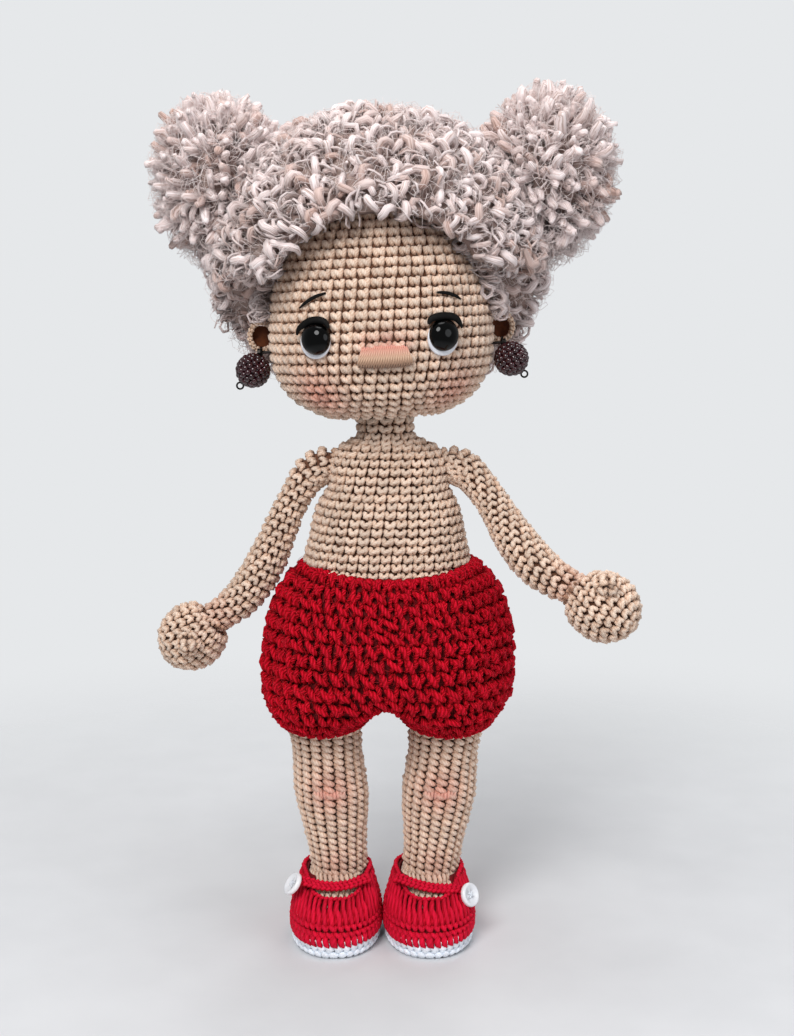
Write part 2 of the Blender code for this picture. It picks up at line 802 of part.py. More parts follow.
def arm_rings(sign, inset, sides, picks=None):
    """Rings square to the arm's path at the picked stations, and the pole at the tip."""
    line, tip = arm_path(inset)
    rings = []
    for k in picks or range(len(line)):
        out, down, half, deep = line[k]
        forward = Vector((1, 0))
        if k > 0:
            after = line[min(k + 1, len(line) - 1)]
            forward = (Vector(after[:2]) - Vector(line[k - 1][:2])).normalized()
        across = Vector((-forward.y, forward.x))
        ring = []
        for i in range(sides):
            angle = 2 * math.pi * i / sides
            shift = Vector((out, down)) + across * half * math.cos(angle)
            ring.append(Vector((sign * shift.x, deep * math.sin(angle), -shift.y)))
        rings.append(ring)
    return rings, Vector((sign * tip.x, 0, -tip.y))


def arm(side, sign):
    """A skin with its thumb, its stuffing and the knotted thread that it turns on."""
    shoulder = Vector((lean_at(shoulder_height) + sign * (shoulder_width / 2 + clearance), 0, shoulder_height))
    frame = empty("arm_axis_" + side, root, shoulder, (-arm_raise_angle[side], 0, 0))
    bore = around(thread_diameter / 2 + clearance, arm_sides)
    outer, tip = arm_rings(sign, 0, arm_sides)
    inner, inner_tip = arm_rings(sign, skin_thickness, arm_sides, arm_inner_stations)
    hole = [[Vector((sign * depth, bore * math.sin(2 * math.pi * i / arm_sides),
                     -bore * math.cos(2 * math.pi * i / arm_sides))) for i in range(arm_sides)]
            for depth in (0, skin_thickness)]
    inner[0] = [Vector((sign * skin_thickness, point.y, point.z)) for point in inner[0]]
    skin = solid("arm_" + side, loft(outer[::-1] + hole + inner, tip, inner_tip), "skin_cotton", frame)

    line, tip_place = arm_path(0)
    along = (tip_place - Vector((arm_reach, arm_drop))).normalized()
    palm = Vector((arm_reach, arm_drop)) - along * thumb_back
    thumb = thumb_diameter / 2
    centre = Vector((sign * palm.x, -hand_depth / 2 + thumb_sunk - thumb, -palm.y))
    boolean(skin, solid("thumb_" + side, ellipsoid((thumb, thumb, thumb), 12, centre), None, frame), "UNION")

    core, core_tip = arm_rings(sign, skin_thickness + stuffing_gap, arm_sides // 2, arm_stuffing_stations)
    start = line[arm_stuffing_stations[0]]
    solid("arm_stuffing_" + side, loft(core, Vector((sign * start[0], 0, -start[1])), core_tip),
          "stuffing_fibre", frame)

    cord, knot = thread_diameter / 2, thread_knot / 2
    inside = skin_thickness + clearance + knot
    near = -clearance - inside
    facets = [math.radians(a) for a in (36, 72, 108, 144)]
    profile = [(0, near - knot)]
    profile += [(knot * math.sin(a), near - knot * math.cos(a)) for a in facets[:-1]]
    profile += [(cord, near + knot), (cord, inside - knot)]
    profile += [(knot * math.sin(a), inside - knot * math.cos(a)) for a in facets[1:]]
    profile += [(0, inside + knot)]
    aim = Matrix.Translation(shoulder) @ Vector((sign, 0, 0)).to_track_quat("Z", "Y").to_matrix().to_4x4()
    solid("shoulder_thread_" + side, turned(profile, tiny_sides), "joint_thread", root, aim)
    gap = around(cord + clearance, tiny_sides)
    room = around(knot + clearance, tiny_sides)
    drill = [(0, near), (gap, near), (gap, cut_overrun), (0, cut_overrun)]
    boolean(torso, solid("thread_hole_" + side, turned(drill, tiny_sides), None, root, aim))
    deep = near - knot - clearance
    pocket = [(0, deep), (room, deep), (room, cut_overrun), (0, cut_overrun)]
    boolean(torso_fill, solid("knot_pocket_" + side, turned(pocket, tiny_sides), None, root, aim))


for side, sign in SIDES.items():
    arm(side, sign)


# Shoes

def shoe_rings(sign, inset, sides, floor=0.0):
    """Rings of the shoe's outer form, drawn in by an inset, from a floor inside it up to the collar."""
    base = sole_height + clearance
    sections = [(base + (shoe_height - base) * level, shoe_length / 2 * long, shoe_width / 2 * wide,
                 shoe_collar_back * shift - shoe_front)
                for level, long, wide, shift in zip(shoe_level_shares, shoe_length_shares,
                                                    shoe_width_shares, shoe_shift_shares)]
    above = [section for section in sections if section[0] > floor]
    if len(above) < len(sections):
        low, high = sections[len(sections) - len(above) - 1], above[0]
        t = (floor - low[0]) / (high[0] - low[0])
        above.insert(0, tuple(a + (b - a) * t for a, b in zip(low, high)))
    return [oval((sign * leg_spread_foot, shift, height), wide - inset, long - inset, sides, shoe_power)
            for height, long, wide, shift in above]


def shoe_side_at(height, y, growth):
    """The point on the side of the grown shoe form at a height and a place along it."""
    rings = shoe_rings(0, -growth, shoe_sides)
    for low, high in zip(rings, rings[1:]):
        if low[0].z + growth <= height <= high[0].z + growth:
            t = (height - growth - low[0].z) / (high[0].z - low[0].z)
            ring = [a + (b - a) * t for a, b in zip(low, high)]
    half = max(point.x for point in ring)
    ends = [point.y for point in ring]
    middle, long = (max(ends) + min(ends)) / 2, (max(ends) - min(ends)) / 2
    return Vector((half * (1 - (abs(y - middle) / long) ** shoe_power) ** (1 / shoe_power), y, height))


def grown_shoe(name, sign, growth):
    """The shoe's outer form grown outwards, closed over the top."""
    rings = [[point + Vector((0, 0, growth)) for point in ring] for ring in shoe_rings(sign, -growth, shoe_sides)]
    low = [point - Vector((0, 0, sole_height)) for point in rings[0]]
    top = sum(rings[-1], Vector()) / shoe_sides
    base = sum(low, Vector()) / shoe_sides
    return solid(name, loft([low] + rings, base, top), None, root)


def shoe(side, sign):
    """Sole, insole, upper, strap and button."""
    middle = sign * leg_spread_foot
    wide = shoe_width / 2 * shoe_width_shares[0]
    long = shoe_length / 2 * shoe_length_shares[0]
    levels = ((0, sole_edge), (sole_edge, 0), (sole_height - sole_edge, 0), (sole_height, sole_edge / 2))
    rings = [oval((middle, -shoe_front, height), wide - inset, long - inset, shoe_sides, shoe_power)
             for height, inset in levels]
    solid("shoe_sole_" + side, loft(rings, Vector((middle, -shoe_front, 0)),
                                    Vector((middle, -shoe_front, sole_height))), "white_cotton", root)

    inset = shoe_cloth + clearance
    floor = sole_height + clearance
    rings = [oval((middle, -shoe_front, height), wide - inset, long - inset, shoe_sides, shoe_power)
             for height in (floor, floor + insole_thickness)]
    solid("insole_" + side, loft(rings, Vector((middle, -shoe_front, floor)),
                                 Vector((middle, -shoe_front, floor + insole_thickness))), "insole_board", root)

    outer = shoe_rings(sign, 0, shoe_sides)
    inner = shoe_rings(sign, shoe_cloth, shoe_sides)
    upper = solid("shoe_upper_" + side, loft(outer + inner[::-1]), "red_cotton", root)
    throat = oval((middle, throat_length / 2 - throat_front, throat_floor), throat_width / 2, throat_length / 2,
                  small_sides)
    top = [point + Vector((0, 0, shoe_height)) for point in throat]
    hole = loft([throat, top], sum(throat, Vector()) / small_sides, sum(top, Vector()) / small_sides)
    boolean(upper, solid("throat_" + side, hole, None, root))

    root_side = throat_width / 2 + strap_lap
    axis = Vector((middle - sign * root_side, -strap_front + strap_width / 2, strap_root_height))
    frame = empty("strap_axis_" + side, root, axis)
    reach = root_side + shoe_width
    band = box((0, -strap_width / 2, strap_low - strap_root_height), (reach, strap_width / 2, shoe_height))
    place = Matrix.Diagonal((sign, 1, 1, 1))
    bmesh.ops.transform(band, matrix=place, verts=band.verts)
    strap = solid("shoe_strap_" + side, band, "red_cotton", frame)
    boolean(strap, grown_shoe("strap_outside_" + side, sign, clearance + strap_thickness), "INTERSECT")
    boolean(strap, grown_shoe("strap_inside_" + side, sign, clearance))

    growth = clearance + strap_thickness
    under = shoe_side_at(button_height, axis.y, growth)
    along = shoe_side_at(button_height, axis.y + button_rim, growth) - under
    upward = shoe_side_at(button_height + button_rim, axis.y, growth) - under
    normal = along.cross(upward).normalized()
    seat = under + normal * clearance + Vector((root_side, -axis.y, -strap_root_height))
    seat.x, normal.x = sign * seat.x, sign * normal.x
    place = frame_on(seat, normal)
    radius = button_diameter / 2
    dish = button_rim / 2
    profile = [(0, 0), (radius - dish, 0), (radius, dish), (radius, button_thickness - dish),
               (radius - dish, button_thickness), (radius - button_rim * 2, button_thickness - dish),
               (0, button_thickness - dish)]
    solid("shoe_button_" + side, turned(profile, small_sides), "white_plastic", frame, place)


for side, sign in SIDES.items():
    shoe(side, sign)


# Legs

def leg_rings(sign, inset, sides, steps, knee=False):
    """Rings of a leg from the sole of the foot up to the hip."""
    floor = sole_height + insole_thickness + clearance * 2 + inset
    foot = shoe_rings(sign, shoe_cloth + clearance + inset, sides, floor)
    spread = leg_spread_top - leg_spread_foot
    stations = []
    for height, width in ((ankle_height, ankle_width), (shin_height, shin_width), (knee_height, knee_width),
                          (thigh_height, thigh_width), (hip_height - inset, leg_top_width)):
        rise = (height - ankle_height) / (hip_height - ankle_height)
        stations.append((height, width / 2 - inset, leg_spread_foot + spread * rise, leg_back_foot * (1 - rise)))
    tube = [oval((sign * x, y, height), half, half, sides) for height, half, x, y in through(stations, steps)]
    return foot + tube, floor


def leg(side, sign):
    """A leg skin open at the hip, with its stuffing and the ridge across the knee."""
    outer, floor = leg_rings(sign, 0, leg_sides, 2)
    inner, inner_floor = leg_rings(sign, skin_thickness, leg_sides, 1)
    neck = [point + Vector((0, 0, skin_thickness)) for point in inner[-1]]
    middle = Vector((sign * leg_spread_foot, -shoe_front, 0))
    mesh = loft(outer + [neck] + inner[::-1], middle + Vector((0, 0, floor)), middle + Vector((0, 0, inner_floor)))
    solid("leg_" + side, mesh, "skin_cotton", root)
    core, core_floor = leg_rings(sign, skin_thickness + stuffing_gap, leg_sides // 2, 1)
    top = sum(core[-1], Vector()) / (leg_sides // 2)
    solid("leg_stuffing_" + side, loft(core, middle + Vector((0, 0, core_floor)), top), "stuffing_fibre", root)

    rise = (knee_height - ankle_height) / (hip_height - ankle_height)
    centre = Vector((sign * (leg_spread_foot + (leg_spread_top - leg_spread_foot) * rise),
                     leg_back_foot * (1 - rise), knee_height))
    radius = knee_width / 2 + clearance
    half_angle = knee_ridge_width / 2 / radius
    steps = 6
    rows = []
    for k in range(steps + 1):
        angle = half_angle * (2 * k / steps - 1)
        aim = Vector((math.sin(angle), -math.cos(angle), 0))
        up = Vector((0, 0, knee_ridge_tall / 2))
        bulge = knee_ridge_proud
        rows.append([centre + aim * radius - up, centre + aim * radius + up,
                     centre + aim * (radius + bulge) + up / 2, centre + aim * (radius + bulge) - up / 2])
    ends = [sum(row, Vector()) / 4 for row in (rows[0], rows[-1])]
    solid("knee_ridge_" + side, loft(rows, *ends), "skin_blush", root)


for side, sign in SIDES.items():
    leg(side, sign)


# Shorts

def seat_form(name, inset):
    """The upper part of the shorts from the waist to the crotch."""
    torso_half = (waist_width + (belly_width - waist_width) * (waist_height - shorts_waist_height)
                  / (waist_height - belly_height)) / 2
    cloth = shorts_thickness + clearance
    stations = [
        (shorts_crotch_height + inset, shorts_tuck_width / 2 * shorts_crotch_share,
         shorts_tuck_depth / 2 * shorts_crotch_share),
        (shorts_tuck_height, shorts_tuck_width / 2, shorts_tuck_depth / 2),
        (shorts_belly_height, shorts_belly_width / 2, shorts_belly_depth / 2),
        (shorts_waist_height, torso_half + cloth, waist_depth / 2 + cloth),
    ]
    rings = [oval((lean_at(height), 0, height), half - inset, deep - inset, torso_sides, torso_power)
             for height, half, deep in through(stations, 2)]
    if inset:
        rings.append([point + Vector((0, 0, cut_overrun)) for point in rings[-1]])
    base = Vector((0, 0, shorts_crotch_height + inset))
    top = sum(rings[-1], Vector()) / torso_sides
    return solid(name, loft(rings, base, top), None, root)


def lobe_form(name, sign, inset):
    """The puff of cloth round the top of one leg."""
    radii = [size / 2 - inset for size in (shorts_lobe_width, shorts_lobe_depth, shorts_lobe_tall)]
    centre = (sign * shorts_lobe_spread, 0, shorts_lobe_height)
    return solid(name, ellipsoid(radii, lobe_sides, centre), None, root)


def leg_room(name, sign):
    """The leg's own form grown by the clearance, which opens the shorts for it."""
    rings, floor = leg_rings(sign, -clearance, leg_sides, 2)
    base = Vector((sign * leg_spread_foot, -shoe_front, floor))
    return solid(name, loft(rings, base, sum(rings[-1], Vector()) / leg_sides), None, root)


def torso_room():
    """The torso's lower form grown by the clearance, which the shorts sit round."""
    rings = [ring for ring in torso_rings(-clearance, torso_sides, 2) if ring[0].z < belly_height + clearance]
    base, top = [sum(ring, Vector()) / torso_sides for ring in (rings[0], rings[-1])]
    return solid("torso_room", loft(rings, base, top), None, root)


def shorts():
    """Puffed shorts: two lobes and a seat joined, hollowed out, open at the waist and the legs."""
    inside = seat_form("seat_inside", shorts_thickness)
    cloth = seat_form("shorts", 0)
    cloth.hide_render = False
    cloth.display_type = "TEXTURED"
    cloth.data.materials.append(material_for("shorts", "red_chunky"))
    cloth.data.shade_smooth()
    for side, sign in SIDES.items():
        boolean(cloth, lobe_form("lobe_" + side, sign, 0), "UNION")
    boolean(cloth, inside)
    boolean(cloth, torso_room())
    for side, sign in SIDES.items():
        boolean(cloth, lobe_form("lobe_inside_" + side, sign, shorts_thickness))
        boolean(cloth, leg_room("leg_room_" + side, sign))
    return cloth


shorts()


# Stand the doll with the middle of its box over the origin

def stand_on_origin():
    bpy.context.view_layer.update()
    graph = bpy.context.evaluated_depsgraph_get()
    corners = []
    for body in bpy.data.objects:
        if body.type in ("MESH", "CURVE") and not body.hide_render:
            shape = body.evaluated_get(graph)
            mesh = shape.to_mesh()
            corners += [shape.matrix_world @ vertex.co for vertex in mesh.vertices]
            shape.to_mesh_clear()
    low = [min(corner[i] for corner in corners) for i in range(3)]
    high = [max(corner[i] for corner in corners) for i in range(3)]
    root.location = (-(low[0] + high[0]) / 2, -(low[1] + high[1]) / 2, -low[2])
    bpy.context.view_layer.update()
    print("size in mm:", [round((b - a) / MM, 1) for a, b in zip(low, high)])
    for frame in bpy.data.objects:
        if frame.name == "doll_frame" or "_axis" in frame.name:
            place = frame.matrix_world
            print(frame.name, [round(v, 6) for v in place.translation],
                  "x", [round(v, 5) for v in place.col[0][:3]], "z", [round(v, 5) for v in place.col[2][:3]])


stand_on_origin()
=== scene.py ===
import json
import math

import bpy
import numpy as np
from mathutils import Matrix, Vector

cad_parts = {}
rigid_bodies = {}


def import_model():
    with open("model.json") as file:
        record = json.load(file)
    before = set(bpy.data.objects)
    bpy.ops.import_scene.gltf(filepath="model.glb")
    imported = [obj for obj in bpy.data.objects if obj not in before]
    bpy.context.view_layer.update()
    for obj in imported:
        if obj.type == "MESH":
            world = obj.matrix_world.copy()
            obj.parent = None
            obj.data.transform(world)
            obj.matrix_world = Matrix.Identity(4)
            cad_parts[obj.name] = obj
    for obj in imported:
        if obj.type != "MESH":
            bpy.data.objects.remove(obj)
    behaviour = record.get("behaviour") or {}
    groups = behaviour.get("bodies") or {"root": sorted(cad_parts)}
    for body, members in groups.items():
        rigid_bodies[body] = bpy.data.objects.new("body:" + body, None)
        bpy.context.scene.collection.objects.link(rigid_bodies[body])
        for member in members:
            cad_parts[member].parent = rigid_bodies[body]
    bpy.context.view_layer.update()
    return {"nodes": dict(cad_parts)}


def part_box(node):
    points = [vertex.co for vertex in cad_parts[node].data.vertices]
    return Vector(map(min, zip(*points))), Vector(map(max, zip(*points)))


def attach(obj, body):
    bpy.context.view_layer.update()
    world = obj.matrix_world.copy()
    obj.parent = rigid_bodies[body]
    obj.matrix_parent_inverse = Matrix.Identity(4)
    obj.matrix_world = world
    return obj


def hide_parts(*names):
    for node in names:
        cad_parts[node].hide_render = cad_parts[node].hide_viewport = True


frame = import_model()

mm = 0.001
sides = {"right": -1, "left": 1}

# Where the doll's own frame stands, and the head's and the arms' frames in it
stand = {
    "doll": (0.00008, -0.001403, 0),
    "head": (0.00058, -0.001403, 0.163),
    "headTilt": math.radians(-2.4),
    "armLeft": (0.02128, -0.001403, 0.1595),
    "armRight": (-0.01872, -0.001403, 0.1595),
    "armLeftRaise": math.radians(48),
}
dollFrame = np.array(Matrix.Translation(stand["doll"]))
headFrame = np.array(Matrix.Translation(stand["head"]) @ Matrix.Rotation(stand["headTilt"], 4, "Y"))
armFrame = {
    "right": np.array(Matrix.Translation(stand["armRight"])),
    "left": np.array(Matrix.Translation(stand["armLeft"]) @ Matrix.Rotation(-stand["armLeftRaise"], 4, "X")),
}


# Small tools

def deselectAll():
    if bpy.context.object and bpy.context.object.mode != "OBJECT":
        bpy.ops.object.mode_set(mode="OBJECT")
    bpy.ops.object.select_all(action="DESELECT")


def selectOnly(body):
    deselectAll()
    bpy.context.view_layer.objects.active = body
    body.select_set(True)


def moveInto(piece, matrix, scale=1.0):
    # the piece's points scaled and laid by a matrix, while the object stays at the origin
    co = np.array([v.co for v in piece.data.vertices]) * scale
    world = co @ matrix[:3, :3].T + matrix[:3, 3]
    piece.data.vertices.foreach_set("co", world.astype(np.float32).ravel())
    piece.data.update()


def unit(vectors):
    return vectors / np.linalg.norm(vectors, axis=1)[:, None]


def lengthAlong(line):
    # the length from the line's start to each of its points
    return np.concatenate([[0], np.cumsum(np.linalg.norm(np.diff(line, axis=0), axis=1))])


def linearColour(code, alpha=1):
    parts = [int(code[i:i + 2], 16) / 255 for i in (1, 3, 5)]
    return (*[c / 12.92 if c <= 0.04045 else ((c + 0.055) / 1.055) ** 2.4 for c in parts], alpha)


def addNode(material, kind, settings=None, links=None):
    # settings go to the node or its inputs, links join a named input to another node's output
    node = material.node_tree.nodes.new("ShaderNode" + kind)
    for key, value in (settings or {}).items():
        if key in node.inputs:
            node.inputs[key].default_value = value
        else:
            setattr(node, key, value)
    for key, (source, output) in (links or {}).items():
        material.node_tree.links.new(source.outputs[output], node.inputs[key])
    return node


def newMaterial(name, **sockets):
    material = bpy.data.materials.new(name)
    material.use_nodes = True
    shader = material.node_tree.nodes["Principled BSDF"]
    for key, value in sockets.items():
        shader.inputs[key.replace("_", " ")].default_value = value
    return material, shader


def join(material, source, output, target, socket):
    material.node_tree.links.new(source.outputs[output], target.inputs[socket])


# Forms: each gives points on a closed skin for a share along it and a turn round it

def smoothLine(stations, t):
    # Catmull-Rom through the stations, for an array of shares from 0 to 1
    stations = np.array(stations, float)
    last = len(stations) - 1
    spot = np.clip(np.asarray(t, float), 0, 1) * last
    i = np.minimum(spot.astype(int), last - 1)
    f = (spot - i)[:, None]
    a = stations[np.maximum(i - 1, 0)]
    b, c = stations[i], stations[i + 1]
    d = stations[np.minimum(i + 2, last)]
    return 0.5 * (2 * b + (c - a) * f + (2 * a - 5 * b + 4 * c - d) * f ** 2 + (3 * b - a - 3 * c + d) * f ** 3)


def ovalPoints(cx, cy, z, hx, hy, turn, power):
    c, s = np.cos(turn), np.sin(turn)
    x = hx * np.sign(c) * np.abs(c) ** (2 / power)
    y = hy * np.sign(s) * np.abs(s) ** (2 / power)
    return np.stack([cx + x, cy + y, z], 1)


def formFrames(form, t, turn):
    # points with their outward, across and along directions on a form
    e = 1e-3
    p = form(t, turn)
    across = form(t, turn + e) - form(t, turn - e)
    along = form(np.clip(t + e, 0, 1), turn) - form(np.clip(t - e, 0, 1), turn)
    across /= np.linalg.norm(across, axis=1)[:, None] + 1e-12
    along -= across * (along * across).sum(1)[:, None]
    along /= np.linalg.norm(along, axis=1)[:, None] + 1e-12
    return p, np.cross(across, along), across, along


def rowsOn(form, rowHeight, start=0.0, end=1.0, probe=-math.pi / 2):
    # shares along the form that stand one row height apart
    t = np.linspace(start, end, 400)
    spots = [form(t, np.full(400, probe + k)) for k in (0, math.pi / 2, math.pi, -math.pi / 2)]
    steps = np.mean([np.linalg.norm(np.diff(p, axis=0), axis=1) for p in spots], 0)
    length = np.concatenate([[0], np.cumsum(steps)])
    count = max(2, int(round(length[-1] / rowHeight)))
    marks = (np.arange(count) + 0.5) * length[-1] / count
    return np.interp(marks, length, t), length[-1] / count


def stitchPlaces(form, rowHeight, pitch, start=0.0, end=1.0, seam=math.pi / 2, lean=0.0, keep=None,
                 seed=1, multiple=6, fixed=None):
    # one place for each stitch: point, across, along and outward vectors
    rng = np.random.RandomState(seed)
    rows, height = rowsOn(form, rowHeight, start, end)
    out = []
    shift = 0.0
    for t in rows:
        around = np.linspace(0, 2 * math.pi, 97)
        ring = form(np.full(97, t), seam + around)
        length = lengthAlong(ring)
        count = fixed or max(multiple, int(round(length[-1] / pitch / multiple)) * multiple)
        shift += lean
        marks = ((np.arange(count) + 0.5 + shift) % count) * length[-1] / count
        turn = seam + np.interp(marks, length, around)
        p, n, a, u = formFrames(form, np.full(count, t), turn)
        wide = length[-1] / count
        out.append(np.stack([p, a * wide, u * height, n], 1))
    places = np.concatenate(out)
    if keep is not None:
        places = places[keep(places[:, 0])]
    wobble = rng.normal(0, 1, (len(places), 3))
    places[:, 0] += wobble * 0.07 * mm
    places[:, 1] *= 1 + rng.normal(0, 0.02, (len(places), 1))
    return places


def pathPlaces(path, pitch, outward, closed=False):
    # places for small shapes that follow a path, with one outward direction for each point of the path
    path = np.array(path, float)
    outward = np.array(outward, float)
    if closed:
        path, outward = np.vstack([path, path[:1]]), np.vstack([outward, outward[:1]])
    fine = np.linspace(0, 1, 400)
    line = smoothLine(path, fine)
    out = smoothLine(outward, fine)
    length = lengthAlong(line)
    count = max(2, int(round(length[-1] / pitch)))
    marks = (np.arange(count) + 0.5) * length[-1] / count
    point = np.stack([np.interp(marks, length, line[:, i]) for i in range(3)], 1)
    ahead = np.stack([np.interp(marks + pitch / 4, length, line[:, i]) for i in range(3)], 1)
    behind = np.stack([np.interp(marks - pitch / 4, length, line[:, i]) for i in range(3)], 1)
    way = unit(ahead - behind)
    normal = np.stack([np.interp(marks, length, out[:, i]) for i in range(3)], 1)
    normal = unit(normal - way * (normal * way).sum(1)[:, None])
    step = length[-1] / count
    return np.stack([point, way * step, np.cross(normal, way), normal], 1)


# Copies of small shapes, laid as a single mesh

def meshFrom(name, points, faces, uvs, material, attributes=None):
    mesh = bpy.data.meshes.new(name)
    mesh.vertices.add(len(points))
    mesh.vertices.foreach_set("co", np.asarray(points, np.float32).ravel())
    sizes = np.full(len(faces), 4, np.int32)
    mesh.loops.add(faces.size)
    mesh.loops.foreach_set("vertex_index", faces.astype(np.int32).ravel())
    mesh.polygons.add(len(faces))
    mesh.polygons.foreach_set("loop_start", (np.cumsum(sizes) - 4).astype(np.int32))
    mesh.polygons.foreach_set("loop_total", sizes)
    mesh.update(calc_edges=True)
    if uvs is not None:
        layer = mesh.uv_layers.new(name="UVMap")
        layer.data.foreach_set("uv", np.asarray(uvs, np.float32).ravel())
    for key, values in (attributes or {}).items():
        field = mesh.attributes.new(key, "FLOAT", "POINT")
        field.data.foreach_set("value", np.asarray(values, np.float32))
    mesh.shade_smooth()
    mesh.materials.append(material)
    body = bpy.data.objects.new(name, mesh)
    bpy.context.scene.collection.objects.link(body)
    return body


def joinCopies(name, shapes, spots, lay, frameMatrix, material, seed, extra, toneSpread, toneRule=None):
    # every spot takes one of the small shapes, and lay puts the shape's points there
    rng = np.random.RandomState(seed)
    pick = rng.randint(0, len(shapes), len(spots))
    tone = 0.5 + (rng.rand(len(spots)) - 0.5) * toneSpread * 2
    if toneRule:
        tone = np.clip(0.45 * tone + 0.55 * toneRule(spots[:, 0]), 0, 1)
    points, faces, uvs, tones, deeps, base = [], [], [], [], [], 0
    for k, shape in enumerate(shapes):
        mine = spots[pick == k]
        if not len(mine):
            continue
        count = len(shape["co"])
        points.append(lay(shape["co"], mine))
        faces.append((shape["faces"][None] + base + np.arange(len(mine))[:, None, None] * count).reshape(-1, 4))
        uvs.append(np.tile(shape["uv"], (len(mine), 1)))
        tones.append(np.repeat(tone[pick == k], count))
        deeps.append(np.tile(shape["deep"], len(mine)))
        base += count * len(mine)
    points = np.concatenate(points)
    attributes = {"tone": np.concatenate(tones), "deep": np.concatenate(deeps)}
    if extra:
        attributes.update({key: rule(points) for key, rule in extra.items()})
    world = points @ frameMatrix[:3, :3].T + frameMatrix[:3, 3]
    return meshFrom(name, world, np.concatenate(faces), np.concatenate(uvs), material, attributes)


def layCopies(name, shapes, places, frameMatrix, material, thick=1.0, seed=1, extra=None, toneSpread=0.5,
              toneRule=None):
    # a place is a point with its across, along and outward vectors
    def lay(co, mine):
        return (mine[:, None, 0] + co[None, :, 0:1] * mine[:, None, 1] + co[None, :, 1:2] * mine[:, None, 2]
                + co[None, :, 2:3] * mine[:, None, 3] * thick).reshape(-1, 3)
    return joinCopies(name, shapes, places, lay, frameMatrix, material, seed, extra, toneSpread, toneRule)


def layOnForm(name, shapes, form, cells, frameMatrix, material, seed=1, extra=None, toneSpread=0.5):
    # a cell is its lower and upper share along the form, its turn and its width in turn
    def lay(co, mine):
        t = (mine[:, 0:1] + mine[:, 1:2]) / 2 + co[None, :, 1] * (mine[:, 1:2] - mine[:, 0:1])
        turn = mine[:, 2:3] + co[None, :, 0] * mine[:, 3:4]
        p, n, _, _ = formFrames(form, np.clip(t, 0, 1).ravel(), turn.ravel())
        return p + n * np.tile(co[:, 2], len(mine))[:, None]
    return joinCopies(name, shapes, np.array(cells, float), lay, frameMatrix, material, seed, extra, toneSpread)


def yarnTube(name, strands, resolution, caps=False):
    # strands of changing thickness, each a curve with a round bevel, made one mesh
    deselectAll()
    bpy.ops.curve.primitive_bezier_curve_add(location=(0, 0, 0))
    curve = bpy.context.object.data
    curve.dimensions = "3D"
    curve.bevel_depth = 1
    curve.bevel_resolution = resolution
    curve.use_fill_caps = caps
    curve.splines.clear()
    for strand in strands:
        spline = curve.splines.new("POLY")
        spline.points.add(len(strand) - 1)
        for knot, (x, y, z, radius) in zip(spline.points, strand):
            knot.co = (x, y, z, 1)
            knot.radius = radius
    bpy.ops.object.convert(target="MESH")
    tube = bpy.context.object
    tube.name = name
    return tube


def strandShape(name, strands, resolution=1):
    # a small shape of one or more strands of yarn
    mesh = yarnTube(name, strands, resolution).data
    co = np.array([v.co for v in mesh.vertices])
    faces = [list(p.vertices) for p in mesh.polygons]
    uv = [tuple(loop.uv) for loop in mesh.uv_layers[0].data]
    # the open ends of each strand are closed with flat faces
    around = len(co) // sum(len(strand) for strand in strands)
    first = 0
    for strand in strands:
        for ring, inner in ((first, first + around), (first + (len(strand) - 1) * around,
                                                      first + (len(strand) - 2) * around)):
            corner = list(range(ring, ring + around))
            away = co[corner].mean(0) - co[inner:inner + around].mean(0)
            if np.cross(co[corner[1]] - co[corner[0]], co[corner[2]] - co[corner[1]]) @ away < 0:
                corner.reverse()
            for k in range(1, around - 2, 2):
                faces.append([corner[0], corner[k], corner[k + 1], corner[k + 2]])
                uv += [(0.5, 0.5)] * 4
        first += len(strand) * around
    faces, uv = np.array(faces), np.array(uv)
    low, high = co[:, 2].min(), co[:, 2].max()
    # deep runs from 0 at the shape's outermost point to 1 at its innermost; the yarn and wool finishes turn it into
    # painted shade
    shape = {"co": co, "faces": faces, "uv": uv, "deep": (high - co[:, 2]) / (high - low)}
    bpy.data.objects.remove(bpy.context.object)
    return shape


def squashed(shape, sx, sy, sz):
    # the shape in shares of a stitch's width and height, and in metres outwards
    return {**shape, "co": shape["co"] * np.array([sx, sy, sz])}


def wrapSheet(name, form, around, up, material, frameMatrix, inset=0.0, start=0.0, end=1.0, keep=None):
    # a grid laid round a form and closed at the back
    deselectAll()
    bpy.ops.mesh.primitive_grid_add(x_subdivisions=around, y_subdivisions=up, size=2, location=(0, 0, 0))
    sheet = bpy.context.object
    sheet.name = name
    flat = np.array([v.co for v in sheet.data.vertices])
    turn = math.pi / 2 + (flat[:, 0] + 1) * math.pi
    t = start + (flat[:, 1] + 1) / 2 * (end - start)
    p, n, _, _ = formFrames(form, t, turn)
    p = p - n * inset
    world = p @ frameMatrix[:3, :3].T + frameMatrix[:3, 3]
    sheet.data.vertices.foreach_set("co", world.astype(np.float32).ravel())
    sheet.data.update()
    inside = keep(p) if keep else np.ones(len(p), bool)
    bpy.ops.object.mode_set(mode="EDIT")
    bpy.ops.mesh.select_all(action="DESELECT")
    bpy.ops.object.mode_set(mode="OBJECT")
    for vertex, stays in zip(sheet.data.vertices, inside):
        vertex.select = not stays
    bpy.ops.object.mode_set(mode="EDIT")
    bpy.ops.mesh.delete(type="VERT")
    bpy.ops.mesh.select_all(action="SELECT")
    bpy.ops.mesh.remove_doubles(threshold=0.00002)
    bpy.ops.object.mode_set(mode="OBJECT")
    bpy.ops.object.shade_smooth()
    sheet.data.materials.append(material)
    return sheet


# Yarns and other finishes

